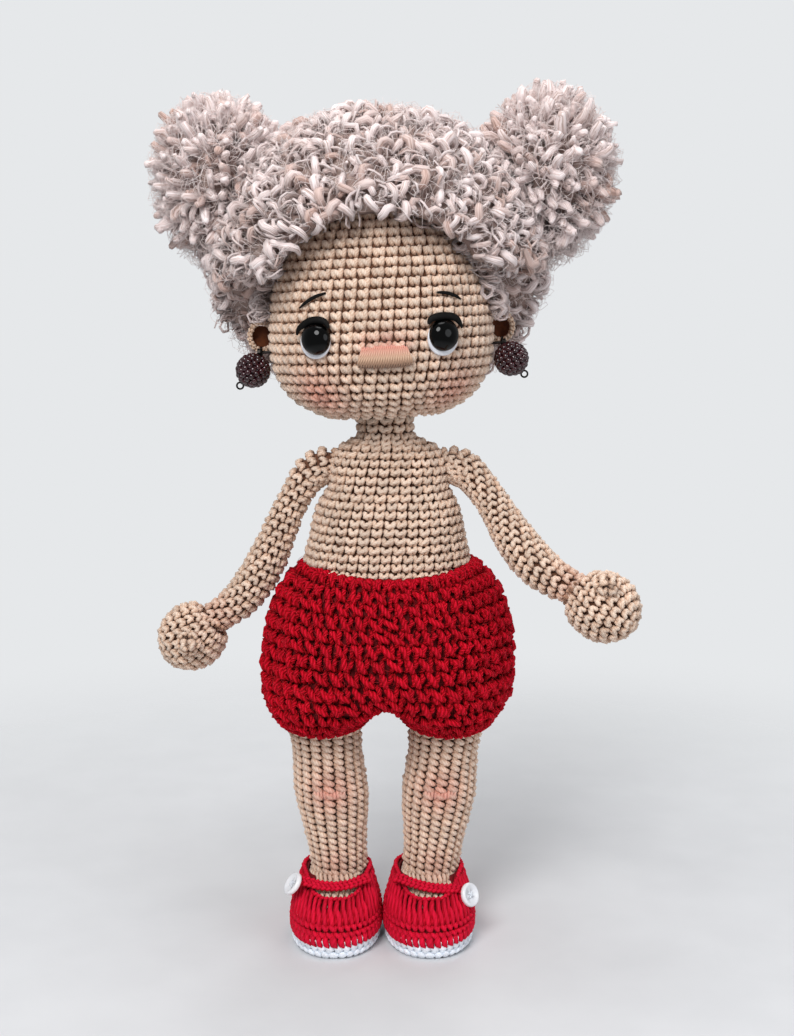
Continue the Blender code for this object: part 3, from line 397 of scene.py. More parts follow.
def yarnMaterial(name, light, mid, dark, plyPerStrand, roughness=0.85, sheen=0.25, bump=0.4, blush=None, tilt=38,
                 plyShare=0.3, relief=0.12, specular=0.3):
    # spun yarn: matt, with plies that wind round each strand; its colour holds painted shade, darker with each point's
    # depth between the strands and in the grooves between the plies
    material, shader = newMaterial(name, Roughness=roughness, Sheen_Weight=sheen, Sheen_Roughness=0.5,
                                   Specular_IOR_Level=specular)
    uv = addNode(material, "UVMap")
    turned = addNode(material, "Mapping", {"Rotation": (0, 0, math.radians(tilt)), "Scale": (1.0, 1.0, 1.0)},
                     {"Vector": (uv, "UV")})
    plies = addNode(material, "TexWave", {"Scale": plyPerStrand, "Distortion": 1.2, "Detail": 1.0,
                                          "Detail Scale": 2.0}, {"Vector": (turned, "Vector")})
    coords = addNode(material, "TexCoord")
    fluff = addNode(material, "TexNoise", {"Scale": 900.0, "Detail": 3.0}, {"Vector": (coords, "Object")})
    deep = addNode(material, "Attribute", {"attribute_name": "deep"})
    tone = addNode(material, "Attribute", {"attribute_name": "tone"})
    plyShade = addNode(material, "MapRange", {"To Min": 0.0, "To Max": plyShare}, {"Value": (plies, "Fac")})
    shadeMix = addNode(material, "Math", {"operation": "MULTIPLY_ADD"}, {0: (deep, "Fac")})
    shadeMix.inputs[1].default_value = 1.0
    join(material, plyShade, "Result", shadeMix, 2)
    lower = addNode(material, "MapRange", {"From Min": 0.12, "From Max": 1.0 + plyShare, "To Min": 0.0, "To Max": 1.0},
                    {"Value": (shadeMix, "Value")})
    # the ramp runs from the lit colour (light) through mid to painted shade (dark), by depth and by ply groove
    ramp = addNode(material, "ValToRGB", None, {"Fac": (lower, "Result")})
    ramp.color_ramp.elements[0].color = linearColour(light)
    ramp.color_ramp.elements[1].color = linearColour(dark)
    ramp.color_ramp.elements[1].position = 0.95
    between = ramp.color_ramp.elements.new(0.45)
    between.color = linearColour(mid)
    level = addNode(material, "MapRange", {"To Min": 0.86, "To Max": 1.1}, {"Value": (tone, "Fac")})
    colour = addNode(material, "HueSaturation", None, {"Color": (ramp, "Color"), "Value": (level, "Result")})
    if blush:
        amount = addNode(material, "Attribute", {"attribute_name": "blush"})
        rosy = addNode(material, "Mix", {"data_type": "RGBA", "blend_type": "MULTIPLY"})
        join(material, amount, "Fac", rosy, 0)
        join(material, colour, "Color", rosy, 6)
        rosy.inputs[7].default_value = linearColour(blush)
        material.node_tree.links.new(rosy.outputs[2], shader.inputs["Base Color"])
    else:
        join(material, colour, "Color", shader, "Base Color")
    height = addNode(material, "Math", {"operation": "ADD"}, {0: (plies, "Fac"), 1: (fluff, "Fac")})
    grain = addNode(material, "Bump", {"Strength": bump, "Distance": relief * mm}, {"Height": (height, "Value")})
    join(material, grain, "Normal", shader, "Normal")
    return material


def woolMaterial(name, light, mid, dark, warm, lines, roughness=0.9, sheen=0.35):
    # carded wool: fine streaks that run along each lock, another set in every lock, and painted shade that darkens each
    # lock towards its root
    material, shader = newMaterial(name, Roughness=roughness, Sheen_Weight=sheen, Sheen_Roughness=0.5,
                                   Specular_IOR_Level=0.2)
    uv = addNode(material, "UVMap")
    tone = addNode(material, "Attribute", {"attribute_name": "tone"})
    deep = addNode(material, "Attribute", {"attribute_name": "deep"})
    drawn = addNode(material, "Mapping", {"Scale": (1.6, lines, 1.0)}, {"Vector": (uv, "UV")})
    spread = addNode(material, "MapRange", {"To Min": 0.0, "To Max": 60.0}, {"Value": (tone, "Fac")})
    apart = addNode(material, "CombineXYZ", None, {"Z": (spread, "Result"), "X": (spread, "Result")})
    moved = addNode(material, "VectorMath", {"operation": "ADD"}, {0: (drawn, "Vector"), 1: (apart, "Vector")})
    streaks = addNode(material, "TexNoise", {"Scale": 1.0, "Detail": 3.0, "Roughness": 0.65},
                      {"Vector": (moved, "Vector")})
    ramp = addNode(material, "ValToRGB", None, {"Fac": (streaks, "Fac")})
    ramp.color_ramp.elements[0].position = 0.3
    ramp.color_ramp.elements[0].color = linearColour(dark)
    ramp.color_ramp.elements[1].position = 0.66
    ramp.color_ramp.elements[1].color = linearColour(light)
    between = ramp.color_ramp.elements.new(0.47)
    between.color = linearColour(mid)
    # painted shade: darker towards each lock's root, taken from its depth
    root = addNode(material, "MapRange", {"From Min": 0.15, "To Min": 1.08, "To Max": 0.56}, {"Value": (deep, "Fac")})
    level = addNode(material, "MapRange", {"To Min": 0.88, "To Max": 1.08}, {"Value": (tone, "Fac")})
    shade = addNode(material, "Math", {"operation": "MULTIPLY"}, {0: (root, "Result"), 1: (level, "Result")})
    colour = addNode(material, "HueSaturation", None, {"Color": (ramp, "Color"), "Value": (shade, "Value")})
    warmth = addNode(material, "ValToRGB", None, {"Fac": (tone, "Fac")})
    warmth.color_ramp.elements[0].position = 0.2
    warmth.color_ramp.elements[0].color = linearColour(warm)
    warmth.color_ramp.elements[1].position = 0.55
    warmth.color_ramp.elements[1].color = linearColour("#FFFFFF")
    tinted = addNode(material, "Mix", {"data_type": "RGBA", "blend_type": "MULTIPLY"})
    tinted.inputs[0].default_value = 1.0
    join(material, colour, "Color", tinted, 6)
    join(material, warmth, "Color", tinted, 7)
    material.node_tree.links.new(tinted.outputs[2], shader.inputs["Base Color"])
    grain = addNode(material, "Bump", {"Strength": 1.0, "Distance": 0.35 * mm}, {"Height": (streaks, "Fac")})
    join(material, grain, "Normal", shader, "Normal")
    return material


def plainMaterial(name, colour, colour2, scale, roughness, bump=0.1, distance=0.05 * mm, **sockets):
    # a plain finish with slight mottling and a fine grain
    material, shader = newMaterial(name, Roughness=roughness, **sockets)
    coords = addNode(material, "TexCoord")
    mottle = addNode(material, "TexNoise", {"Scale": scale, "Detail": 4.0}, {"Vector": (coords, "Object")})
    ramp = addNode(material, "ValToRGB", None, {"Fac": (mottle, "Fac")})
    ramp.color_ramp.elements[0].color = linearColour(colour)
    ramp.color_ramp.elements[1].color = linearColour(colour2)
    ramp.color_ramp.elements[0].position = 0.35
    ramp.color_ramp.elements[1].position = 0.65
    join(material, ramp, "Color", shader, "Base Color")
    relief = addNode(material, "Bump", {"Strength": bump, "Distance": distance}, {"Height": (mottle, "Fac")})
    join(material, relief, "Normal", shader, "Normal")
    return material


# each yarn's light and mid colours are its lit tones, its dark colour is painted shade in the recesses and ply grooves
skinYarn = yarnMaterial("skinCottonYarn", "#F0D9C6", "#CFAA8F", "#7E5842", 2.0, blush="#E8786C")
# dark sheet under the skin stitches: its colour is painted shade seen in the gaps between them
skinShadowSheet = plainMaterial("skinBetweenStitches", "#5C3A28", "#744C36", 700, 0.95)
earYarn = yarnMaterial("earCottonYarn", "#F6DCC6", "#DCB698", "#8A5A3C", 2.0)
# the ear's cup: its brown-orange yarn, darkened further with painted shade
earInside = plainMaterial("earCupShade", "#4A2009", "#6E3A1A", 500, 0.95, bump=0.5, distance=0.3 * mm)
# darker sheet under the ear's rim stitches: its colour is painted shade between them
earRoll = plainMaterial("earRollBetweenStitches", "#A87C5C", "#B98C6A", 500, 0.95)
redChunky = yarnMaterial("redChunkyYarn", "#E01230", "#AA000C", "#5C0004", 2.2, roughness=0.95, sheen=0.0, bump=1.0,
                         plyShare=0.8, relief=0.3, specular=0.15)
redFibre = plainMaterial("redLooseFibre", "#D80C24", "#A80412", 120, 0.7)
# dark red sheet under the shorts and shoe stitches: its colour is painted shade seen between them
redShadowSheet = plainMaterial("redBetweenStitches", "#5A0004", "#740008", 700, 0.95)
redCotton = yarnMaterial("redCottonYarn", "#E01038", "#B8001C", "#560008", 2.0, roughness=0.9, sheen=0.0,
                         relief=0.2, specular=0.2)
whiteCotton = yarnMaterial("whiteCottonYarn", "#F4F8FF", "#E2ECF8", "#B8C5D4", 2.0, relief=0.06)
# grey-blue sheet under the white sole stitches: its colour is painted shade seen between them
whiteShadowSheet = plainMaterial("whiteBetweenStitches", "#B8C4D2", "#CAD5E1", 700, 0.95)
hairWool = woolMaterial("boucleWool", "#FBF1F0", "#E2D0CD", "#A58A7E", "#E3D0C6", 15.0)
# the ground under the hair: its colour is painted shade seen between the curls
hairShadowSheet = plainMaterial("boucleUnder", "#86706A", "#A8948C", 260, 0.95, bump=0.6, distance=0.8 * mm)
hairFibre = plainMaterial("boucleFibre", "#F4E9E7", "#DCCCC8", 120, 0.7)
eyeGloss = plainMaterial("polishedBlackPlastic", "#010101", "#030303", 60, 0.07, bump=0.0, Specular_IOR_Level=0.2)
eyeWhiteFelt = plainMaterial("whiteFelt", "#F0F0F4", "#E0E0E8", 900, 0.9, bump=0.3)
blackThread = plainMaterial("blackEmbroideryThread", "#030303", "#100D0B", 1200, 0.7, bump=0.6,
                            Specular_IOR_Level=0.2)
beadGlass = plainMaterial("burgundySeedBead", "#22030A", "#3C0815", 300, 0.12, bump=0.0, Coat_Weight=1.0,
                          Coat_Roughness=0.02, Coat_IOR=1.6, Specular_IOR_Level=0.2)
wireSteel = plainMaterial("darkDrawnWire", "#1E1C1B", "#2E2B29", 800, 0.42, Metallic=1.0)
buttonWhite = plainMaterial("polishedWhiteButton", "#F2F2F4", "#E6E8EE", 90, 0.25, bump=0.02)
stuffing = plainMaterial("looseFibreFilling", "#F4F2EE", "#E2DED8", 300, 1.0, bump=0.6)
dowelWood = plainMaterial("turnedBeech", "#C9A878", "#B88F5E", 200, 0.6)
washerPlastic = plainMaterial("mouldedWasher", "#E8E8E4", "#DCDCD6", 150, 0.45)
linen = plainMaterial("waxedLinenThread", "#E8DCC8", "#C8B89C", 1500, 0.7, bump=0.5)
insoleFelt = plainMaterial("insoleFelt", "#C8B896", "#B4A484", 700, 0.95, bump=0.4)
print("finishes ready")


# Small shapes of yarn, in millimetres across, along and outwards

stitchSize = (4.05, 3.73)
crossStitch = [
    [(-1.2, 1.5, -0.35, 0.5), (-1.2, 1.0, 0.42, 0.92), (-0.98, -0.35, 0.3, 0.9), (-0.72, -1.6, -0.4, 0.62)],
    [(1.2, 1.85, -0.4, 0.5), (1.2, 1.25, 0.48, 0.95), (1.1, -0.2, 0.2, 0.9), (0.85, -1.6, -0.4, 0.62)],
    [(-1.2, 1.1, 0.1, 0.5), (-0.55, 0.6, 0.8, 0.95), (0.4, -0.35, 0.75, 1.0), (1.1, -1.45, -0.05, 0.6)],
]


def stitchVariant(strands, seed, swing, size):
    rng = np.random.RandomState(seed)
    moved = [[(*(np.array(knot[:3]) + rng.normal(0, swing, 3)), knot[3] * (1 + rng.normal(0, 0.04)))
              for knot in strand] for strand in strands]
    return squashed(strandShape("stitch", moved), 1 / size[0], 1 / size[1], mm)


crossShapes = [stitchVariant(crossStitch, seed, 0.1, stitchSize) for seed in (1, 2, 3, 4, 34)]
smallStitch = [
    [(-1.35, 1.75, -0.3, 0.5), (-1.3, 1.2, 0.5, 0.95), (-0.85, -0.1, 0.5, 0.9), (-0.15, -1.5, -0.3, 0.65)],
    [(1.3, 1.9, -0.35, 0.5), (1.3, 1.3, 0.5, 0.98), (1.1, 0.0, 0.35, 0.92), (0.65, -1.55, -0.35, 0.65)],
    [(-1.7, -0.4, -0.2, 0.45), (-0.9, -0.6, 0.55, 0.8), (0.3, 0.25, 0.85, 0.98), (1.0, 0.75, 0.4, 0.7)],
]
smallShapes = [stitchVariant(smallStitch, seed, 0.14, stitchSize) for seed in (35, 36, 37, 38, 39)]
barSize = (3.6, 2.2)
barStitch = [
    [(-1.65, 0.62, -0.4, 0.45), (-1.05, 0.62, 0.4, 0.82), (0.0, 0.15, 0.6, 1.0), (1.05, -0.4, 0.35, 0.85),
     (1.65, -0.55, -0.4, 0.45)],
    [(-1.5, -0.45, 0.0, 0.6), (-0.7, -0.85, 0.25, 0.7), (0.15, -1.2, -0.2, 0.5)],
]
barShapes = [stitchVariant(barStitch, seed, 0.06, barSize) for seed in (5, 6, 7)]
puffSize = (5.4, 4.7)
puffStitch = [
    [(2.3, -2.4, -1.0, 0.6), (1.3, -1.3, 0.7, 1.0), (-0.3, 0.1, 1.3, 1.12), (-1.7, 1.3, 0.8, 1.0),
     (-2.6, 2.3, -0.6, 0.6)],
    [(-1.6, -2.4, -0.9, 0.6), (-0.9, -1.3, 0.4, 0.9), (-1.0, 0.0, 0.5, 0.9), (-0.2, 1.3, 0.5, 0.85)],
    [(0.2, -1.9, -0.5, 0.6), (1.3, -0.3, 0.5, 0.85), (1.7, 1.2, 0.9, 0.95), (1.2, 2.5, -0.4, 0.6)],
]
puffShapes = [stitchVariant(puffStitch, seed, 0.3, puffSize) for seed in (8, 9, 10, 11, 12, 13, 40, 41, 42)]


ropeStitch = [[(-0.95, -0.5, -0.2, 0.35), (-0.4, -0.25, 0.3, 0.72), (0.4, 0.25, 0.3, 0.72), (0.95, 0.5, -0.2, 0.35)]]
ropeShapes = [stitchVariant(ropeStitch, seed, 0.05, (1.7, 1000)) for seed in (28, 29)]
mirroredRope = [[(x, -y, z, radius) for x, y, z, radius in ropeStitch[0]]]
mirroredShapes = [stitchVariant(mirroredRope, seed, 0.05, (1.7, 1000)) for seed in (28, 29)]


def withBlush(spots):
    # rosy powder that fades out from each spot, as (point in mm, radius in mm, amount)
    def rule(points):
        total = np.zeros(len(points))
        for centre, radius, amount in spots:
            away = np.linalg.norm(points / mm - np.array(centre), axis=1)
            total = np.maximum(total, amount * np.exp(-(away / radius) ** 2))
        return total
    return {"blush": rule}


# Head skin

head = {
    "halfWidth": 36.25 * mm, "halfDepth": 35 * mm, "centre": 38 * mm, "chin": 27 * mm, "crown": 50 * mm,
    "chinPower": 2.5, "crownPower": 2.1, "rowHeight": 3.22 * mm, "pitch": 4.0 * mm, "shellInset": 1.5 * mm,
    "stitchInset": 1.15 * mm,
    "eyes": {"right": (-18.6, 39.3), "left": (18.5, 38.9)}, "eyeRoom": 4.4,
}


def headForm(t, turn, grow=0.0):
    angle = math.radians(-89) + np.asarray(t) * math.radians(178)
    up = angle >= 0
    power = np.where(up, head["crownPower"], head["chinPower"])
    reach = np.where(up, head["crown"], head["chin"]) + grow
    share = np.cos(angle) ** (2 / power)
    rise = np.sign(angle) * reach * np.abs(np.sin(angle)) ** (2 / power)
    c, s = np.cos(turn), np.sin(turn)
    return np.stack([(head["halfWidth"] + grow) * share * c, (head["halfDepth"] + grow) * share * s,
                     head["centre"] + rise], 1)


def headFront(x, rise, out=0.0):
    # a point on the front of the head in its own frame, in metres
    above = rise - head["centre"]
    reach, power = (head["crown"], head["crownPower"]) if above >= 0 else (head["chin"], head["chinPower"])
    share = (1 - (abs(above) / reach) ** power) ** (1 / power)
    hx, hy = head["halfWidth"], head["halfDepth"]
    y = -hy * math.sqrt(max(share ** 2 - (x / hx) ** 2, 0))
    slope = share ** (2 - power) * math.copysign((abs(above) / reach) ** (power - 1), above) / reach
    normal = Vector((x / hx ** 2, y / hy ** 2, slope)).normalized()
    return Vector((x, y, rise)) + normal * out, normal


def showsOnHead(points):
    z, y = points[:, 2] / mm, points[:, 1] / mm
    underHair = (z > 84) | ((y > 14) & (z > 34)) | ((y > 0) & (z > 52))
    neckRoom = (np.hypot(points[:, 0], points[:, 1]) / mm < 10.5) & (z < 20)
    eyeRoom = (y < 0) & np.any([np.hypot(points[:, 0] / mm - x, z - rise) < head["eyeRoom"]
                                for x, rise in head["eyes"].values()], 0)
    return ~underHair & ~neckRoom & ~eyeRoom


cheeks = [((-22, -26, 19), 9, 0.6), ((25, -24, 18), 9, 0.5), ((2, -36, 37.5), 3.5, 0.5), ((-4, -36, 37.5), 3, 0.4),
          ((8, -36, 37.5), 3, 0.4)]
headPlaces = stitchPlaces(lambda t, turn: headForm(t, turn, -head["stitchInset"]), head["rowHeight"], head["pitch"],
                          0.13, 0.93, keep=showsOnHead, seed=3, lean=0.09)
headStitches = layCopies("head_stitches", crossShapes, headPlaces, headFrame, skinYarn, thick=0.95, seed=4,
                         extra=withBlush(cheeks))
headShell = wrapSheet("head_shell", headForm, 64, 48, skinShadowSheet, headFrame,
                      head["shellInset"], 0.1, 1.0)
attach(headStitches, "head")
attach(headShell, "head")
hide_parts("head")
print("head", len(headPlaces), "stitches")


# Torso and neck

torso = {
    "stations": [(100, 0.3, 31.4, 22.6), (113, 0.5, 30.6, 22.2), (126, 0.7, 28.2, 21), (136, 0.8, 25.9, 19.9),
                 (145.5, 0.95, 23.7, 18.7), (152.7, 1.1, 19.9, 17.4), (159.5, 1.2, 19.6, 15.3),
                 (165.1, 1.1, 16.6, 10.8), (168.5, 0.5, 10.2, 9.8), (174, 0.0, 9.5, 9.5), (181.5, -0.3, 9.4, 9.4)],
    "power": 2.2, "rowHeight": 2.8 * mm, "pitch": 3.66 * mm, "shellInset": 1.5 * mm, "stitchInset": 1.1 * mm,
    "rim": 127.2, "rimSag": 3.8, "rimDeep": 20,
}


def torsoForm(t, turn):
    z, cx, hx, hy = smoothLine(torso["stations"], t).T * mm
    power = 2 + (torso["power"] - 2) * np.clip((0.17 - z) / 0.01, 0, 1)
    return ovalPoints(cx, 0, z, hx - torso["stitchInset"], hy - torso["stitchInset"], turn, power)


def aboveRim(points):
    front = np.clip(-points[:, 1] / (torso["rimDeep"] * mm), 0, 1) ** 2
    return points[:, 2] / mm > torso["rim"] - torso["rimSag"] * front


torsoPlaces = stitchPlaces(torsoForm, torso["rowHeight"], torso["pitch"], 0.12, 1.0, seed=5, keep=aboveRim, lean=0.07)
torsoStitches = layCopies("torso_stitches", smallShapes, torsoPlaces, dollFrame, skinYarn, thick=0.86, seed=6,
                          extra=withBlush([]))
torsoShell = wrapSheet("torso_shell", torsoForm, 48, 40, skinShadowSheet, dollFrame, torso["shellInset"] * 0.5, 0.0, 1.0)
for piece in (torsoStitches, torsoShell):
    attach(piece, "torso")
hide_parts("torso")
print("torso", len(torsoPlaces), "stitches")


# Arms

arm = {
    "reach": 45.4, "drop": 57.5, "width": 13.2, "handWidth": 22.4, "handDepth": 20,
    "out": (0, 0.07, 0.14, 0.215, 0.30, 0.37, 0.44, 0.515, 0.60, 0.69, 0.775, 0.85),
    "down": (0, 0.015, 0.06, 0.155, 0.28, 0.415, 0.54, 0.65, 0.745, 0.815, 0.86, 0.895),
    "half": (0.92, 0.94, 0.90, 0.80, 0.80, 0.88, 0.98, 1.0, 0.97, 0.90, 0.82, 0.80),
    "handAlong": (-0.72, -0.38, 0, 0.4, 0.74, 0.93), "handHalf": (0.70, 0.93, 1.0, 0.92, 0.67, 0.36),
    "rowHeight": 2.85 * mm, "pitch": 3.3 * mm, "stitchInset": 1.1 * mm,
}


def armStations():
    line = [(-3.6, 0.6, 1.5, 1.5), (-2.7, 0.4, 3.9, 3.9), (-1.3, 0.15, 5.3, 5.3)]
    line += [(arm["reach"] * o, arm["drop"] * d, arm["width"] / 2 * w, arm["width"] / 2 * w)
             for o, d, w in zip(arm["out"], arm["down"], arm["half"])]
    palm = Vector((arm["reach"], arm["drop"]))
    along = (palm - Vector(line[-1][:2])).normalized()
    for step, w in zip(arm["handAlong"], arm["handHalf"]):
        line.append((*(palm + along * step * arm["handWidth"] / 2), arm["handWidth"] / 2 * w,
                     arm["handDepth"] / 2 * w))
    line.append((*(palm + along * arm["handWidth"] / 2), 0.9, 0.9))
    return line


armLine = armStations()


def armForm(sign):
    def form(t, turn):
        e = 0.01
        out, down, half, deep = smoothLine(armLine, t).T * mm
        ahead = smoothLine(armLine, np.clip(np.asarray(t) + e, 0, 1))[:, :2]
        behind = smoothLine(armLine, np.clip(np.asarray(t) - e, 0, 1))[:, :2]
        way = unit(ahead - behind)
        half, deep = half - arm["stitchInset"], deep - arm["stitchInset"]
        x = out - way[:, 1] * half * np.cos(turn)
        z = down + way[:, 0] * half * np.cos(turn)
        return np.stack([sign * x, sign * deep * np.sin(turn), -z], 1)
    return form


for side, sign in sides.items():
    form = armForm(sign)
    armPlaces = stitchPlaces(form, arm["rowHeight"], arm["pitch"], 0.01, 1.0, lean=0.35,
                             seed=7 + sign, multiple=2)
    blush = withBlush([((sign * 36, 0, -50), 6, 0.35)])
    armStitches = layCopies("arm_stitches_" + side, smallShapes, armPlaces, armFrame[side], skinYarn,
                            seed=8, extra=blush, thick=0.92)
    armShell = wrapSheet("arm_shell_" + side, form, 24, 60, skinShadowSheet, armFrame[side], 0.7 * mm, 0.005, 1.0)
    for piece in (armStitches, armShell):
        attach(piece, "arm_" + side)
    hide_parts("arm_" + side)
    print("arm", side, len(armPlaces), "stitches")


# Legs

leg = {
    "stations": [(13, 15.9, 3.2, 9.0), (18, 15.9, 3.2, 9.1), (23, 15.9, 3.0, 9.35), (34, 16.95, 2.5, 10.3),
                 (42, 17.7, 2.1, 11.6), (50, 18.45, 1.75, 12.15), (62, 19.55, 1.2, 11.5), (75, 20.8, 0.6, 12.3),
                 (88, 22, 0, 13.3)],
    "rowHeight": 2.36 * mm, "pitch": 3.8 * mm, "stitchInset": 0.9 * mm,
}


def legForm(sign):
    def form(t, turn):
        z, cx, cy, half = smoothLine(leg["stations"], t).T * mm
        half = half - leg["stitchInset"]
        return ovalPoints(sign * cx, cy, z, half, half, turn, 2.0)
    return form


for side, sign in sides.items():
    form = legForm(sign)
    legPlaces = stitchPlaces(form, leg["rowHeight"], leg["pitch"], 0.0, 1.0, seed=11 + sign, fixed=18, lean=0.03)
    blush = withBlush([((sign * 18.4, -10, 51), 7, 0.45), ((sign * 17, -8, 24), 5, 0.3)])
    legStitches = layCopies("leg_stitches_" + side, barShapes, legPlaces, dollFrame, skinYarn, seed=12,
                            extra=blush)
    legShell = wrapSheet("leg_shell_" + side, form, 32, 40, skinShadowSheet, dollFrame, 0.5 * mm, 0.0, 1.0)
    for piece in (legStitches, legShell):
        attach(piece, "torso")
    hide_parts("leg_" + side)
    print("leg", side, len(legPlaces), "stitches")


# Shorts

shorts = {
    "stations": [(127.4, 28.0, 23.2), (125.4, 31.0, 24.8), (122, 34.6, 26.9), (116, 38.0, 28.8), (109, 40.4, 30.1),
                 (101, 41.6, 31.0), (93, 42.2, 31.2), (86, 41.8, 30.4), (80, 39.6, 27.8), (76.5, 35, 24)],
    "power": 2.15, "rowHeight": 4.7 * mm, "pitch": 5.4 * mm, "stitchInset": 1.6 * mm,
    "lobe": (21, 88, 21.2, 28.8, 19.5), "lean": (0.8, 0.0225), "sag": 3.4 * mm, "around": 44,
    "pinch": (0.86, 0.075, 2.6, 1.3), "notch": (0.6, 9.5, 7.4, 93), "twist": 11, "legHem": (20.9, 14.4),
}


def shortsForm(t, turn):
    z, hx, hy = smoothLine(shorts["stations"], 1 - np.asarray(t)).T * mm
    middle, lean = shorts["lean"]
    cx = middle * mm + lean * (z - 0.088)
    front = np.clip(-np.sin(turn), 0, 1) ** 2
    z = z - shorts["sag"] * front * np.clip((z - 0.1) / 0.028, 0, 1)
    points = ovalPoints(cx, 0, z, hx - shorts["stitchInset"], hy - shorts["stitchInset"], turn, shorts["power"])
    # a soft fold runs down inside each side of the front and the back
    spot, spread, deepRight, deepLeft = shorts["pinch"]
    side = (points[:, 0] - cx) / hx
    fold = np.exp(-((np.abs(side) - spot) / spread) ** 2) * np.where(side < 0, deepRight, deepLeft) * mm
    points[:, 1] -= np.sign(points[:, 1]) * fold * np.clip(np.abs(np.sin(turn)) * 4, 0, 1)
    # the lower rows arch up between the legs
    notch, wide, rise, top = shorts["notch"]
    low = np.clip((top * mm - points[:, 2]) / ((top - 76.5) * mm), 0, 1)
    points[:, 2] += rise * mm * low ** 1.4 * np.exp(-((points[:, 0] / mm - notch) / wide) ** 2)
    return points


def seatShare(points):
    # below 1 inside the seat's outline at each point's height, above 1 outside
    fine = np.array(shorts["stations"])[::-1]
    inset = shorts["stitchInset"] / mm
    x, y, z = points.T / mm
    hx = np.interp(z, fine[:, 0], fine[:, 1]) - inset
    hy = np.interp(z, fine[:, 0], fine[:, 2]) - inset
    return (np.abs(x - shorts["lean"][0]) / hx) ** shorts["power"] + (np.abs(y) / hy) ** shorts["power"]


def lobeForm(sign):
    spread, height, hx, hy, hz = (v * mm for v in shorts["lobe"])

    def form(t, turn):
        angle = math.radians(-88) + np.asarray(t) * math.radians(96)
        inset = shorts["stitchInset"]
        points = np.stack([sign * spread + (hx - inset) * np.cos(angle) * np.cos(turn),
                           (hy - inset) * np.cos(angle) * np.sin(turn), height + (hz - inset) * np.sin(angle)], 1)
        # the upper rows draw in to the seat's outline
        draw = np.clip((points[:, 2] / mm - 78) / 9, 0, 1)
        scale = 1 + draw * (np.maximum(seatShare(points), 1) ** (-1 / shorts["power"]) - 1)
        middle = shorts["lean"][0] * mm
        points[:, 0] = middle + (points[:, 0] - middle) * scale
        points[:, 1] *= scale
        return points
    return form


def inLobe(points, sign, grow=0.0):
    spread, height, hx, hy, hz = shorts["lobe"]
    inset = shorts["stitchInset"] / mm - grow
    x, y, z = points.T / mm
    return ((x - sign * spread) / (hx - inset)) ** 2 + (y / (hy - inset)) ** 2 + ((z - height) / (hz - inset)) ** 2 < 1


def onBody(points):
    low = points[:, 2] < 88 * mm
    return ~(low & (inLobe(points, 1, -1.3) | inLobe(points, -1, -1.3)))


def belowSeat(sign):
    def rule(points):
        x, y, z = points.T / mm
        away = np.hypot(x - sign * 20.6, y)
        outside = seatShare(points) > 0.92
        return (z < 93) & (outside | (z < 76.5)) & (away > 13.2) & (x * sign > -0.5)
    return rule


def twisted(places, swing, seed):
    # each place turned a little about its outward direction
    angle = np.random.RandomState(seed).normal(0, math.radians(swing), len(places))[:, None]
    wide = np.linalg.norm(places[:, 1], axis=1)[:, None]
    tall = np.linalg.norm(places[:, 2], axis=1)[:, None]
    across, along = places[:, 1] / wide, places[:, 2] / tall
    places[:, 1] = (across * np.cos(angle) + along * np.sin(angle)) * wide
    places[:, 2] = (along * np.cos(angle) - across * np.sin(angle)) * tall
    return places


shortsPlaces = stitchPlaces(shortsForm, shorts["rowHeight"], shorts["pitch"], 0.02, 1.0, seed=15, lean=-0.42,
                            fixed=shorts["around"], keep=onBody)
shortsPlaces = twisted(shortsPlaces, shorts["twist"], 61)
shortsStitches = [layCopies("shorts_stitches", puffShapes, shortsPlaces, dollFrame, redChunky, seed=16)]
shortsShell = [wrapSheet("shorts_shell", shortsForm, 64, 32, redShadowSheet, dollFrame, 0.8 * mm, 0.0, 1.0)]
for side, sign in sides.items():
    form = lobeForm(sign)
    lobePlaces = stitchPlaces(form, shorts["rowHeight"], shorts["pitch"], 0.3, 1.0, keep=belowSeat(sign),
                              seed=17 + sign, lean=-0.42, fixed=26)
    lobePlaces = twisted(lobePlaces, shorts["twist"], 62 + sign)
    shortsStitches.append(layCopies("shorts_puffs_" + side, puffShapes, lobePlaces, dollFrame, redChunky, seed=18))
    shortsShell.append(wrapSheet("shorts_lobe_" + side, form, 40, 24, redShadowSheet, dollFrame, 0.8 * mm, 0.3, 1.0))
# the rolled edges at the lowest and the highest row
cordPitch, cordWide, cordThick = 3.0 * mm, 1.9, 2.0
for label, share in (("hem", 0.985), ("rim", 0.0)):
    turns = np.linspace(-math.pi, math.pi, 73)[:-1]
    ring, outward, _, _ = formFrames(shortsForm, np.full(72, share), turns)
    places = pathPlaces(ring, cordPitch, outward + np.array([0, 0, -0.6 if label == "hem" else 0.6]), closed=True)
    places[:, 2] *= cordWide
    shortsStitches.append(layCopies("shorts_" + label, ropeShapes, places, dollFrame, redChunky, thick=cordThick,
                                    seed=19))
# a rolled edge round each leg
for side, sign in sides.items():
    spread, height, hx, hy, hz = shorts["lobe"]
    centre, radius = shorts["legHem"]
    turns = np.linspace(0, 2 * math.pi, 41)[:-1]
    x, y = sign * centre + radius * np.cos(turns), radius * np.sin(turns)
    under = np.sqrt(1 - ((x - sign * spread) / hx) ** 2 - (y / hy) ** 2)
    ring = np.stack([x, y, height - (hz - shorts["stitchInset"] / mm) * under], 1) * mm
    outward = np.stack([np.cos(turns) * 0.5, np.sin(turns) * 0.5, -np.ones(40)], 1)
    places = pathPlaces(ring, cordPitch, outward, closed=True)
    places[:, 2] *= cordWide
    shortsStitches.append(layCopies("shorts_leg_hem_" + side, ropeShapes, places, dollFrame, redChunky,
                                    thick=cordThick, seed=63))
for piece in shortsStitches + shortsShell:
    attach(piece, "torso")
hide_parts("shorts")
print("shorts", len(shortsPlaces), "stitches")
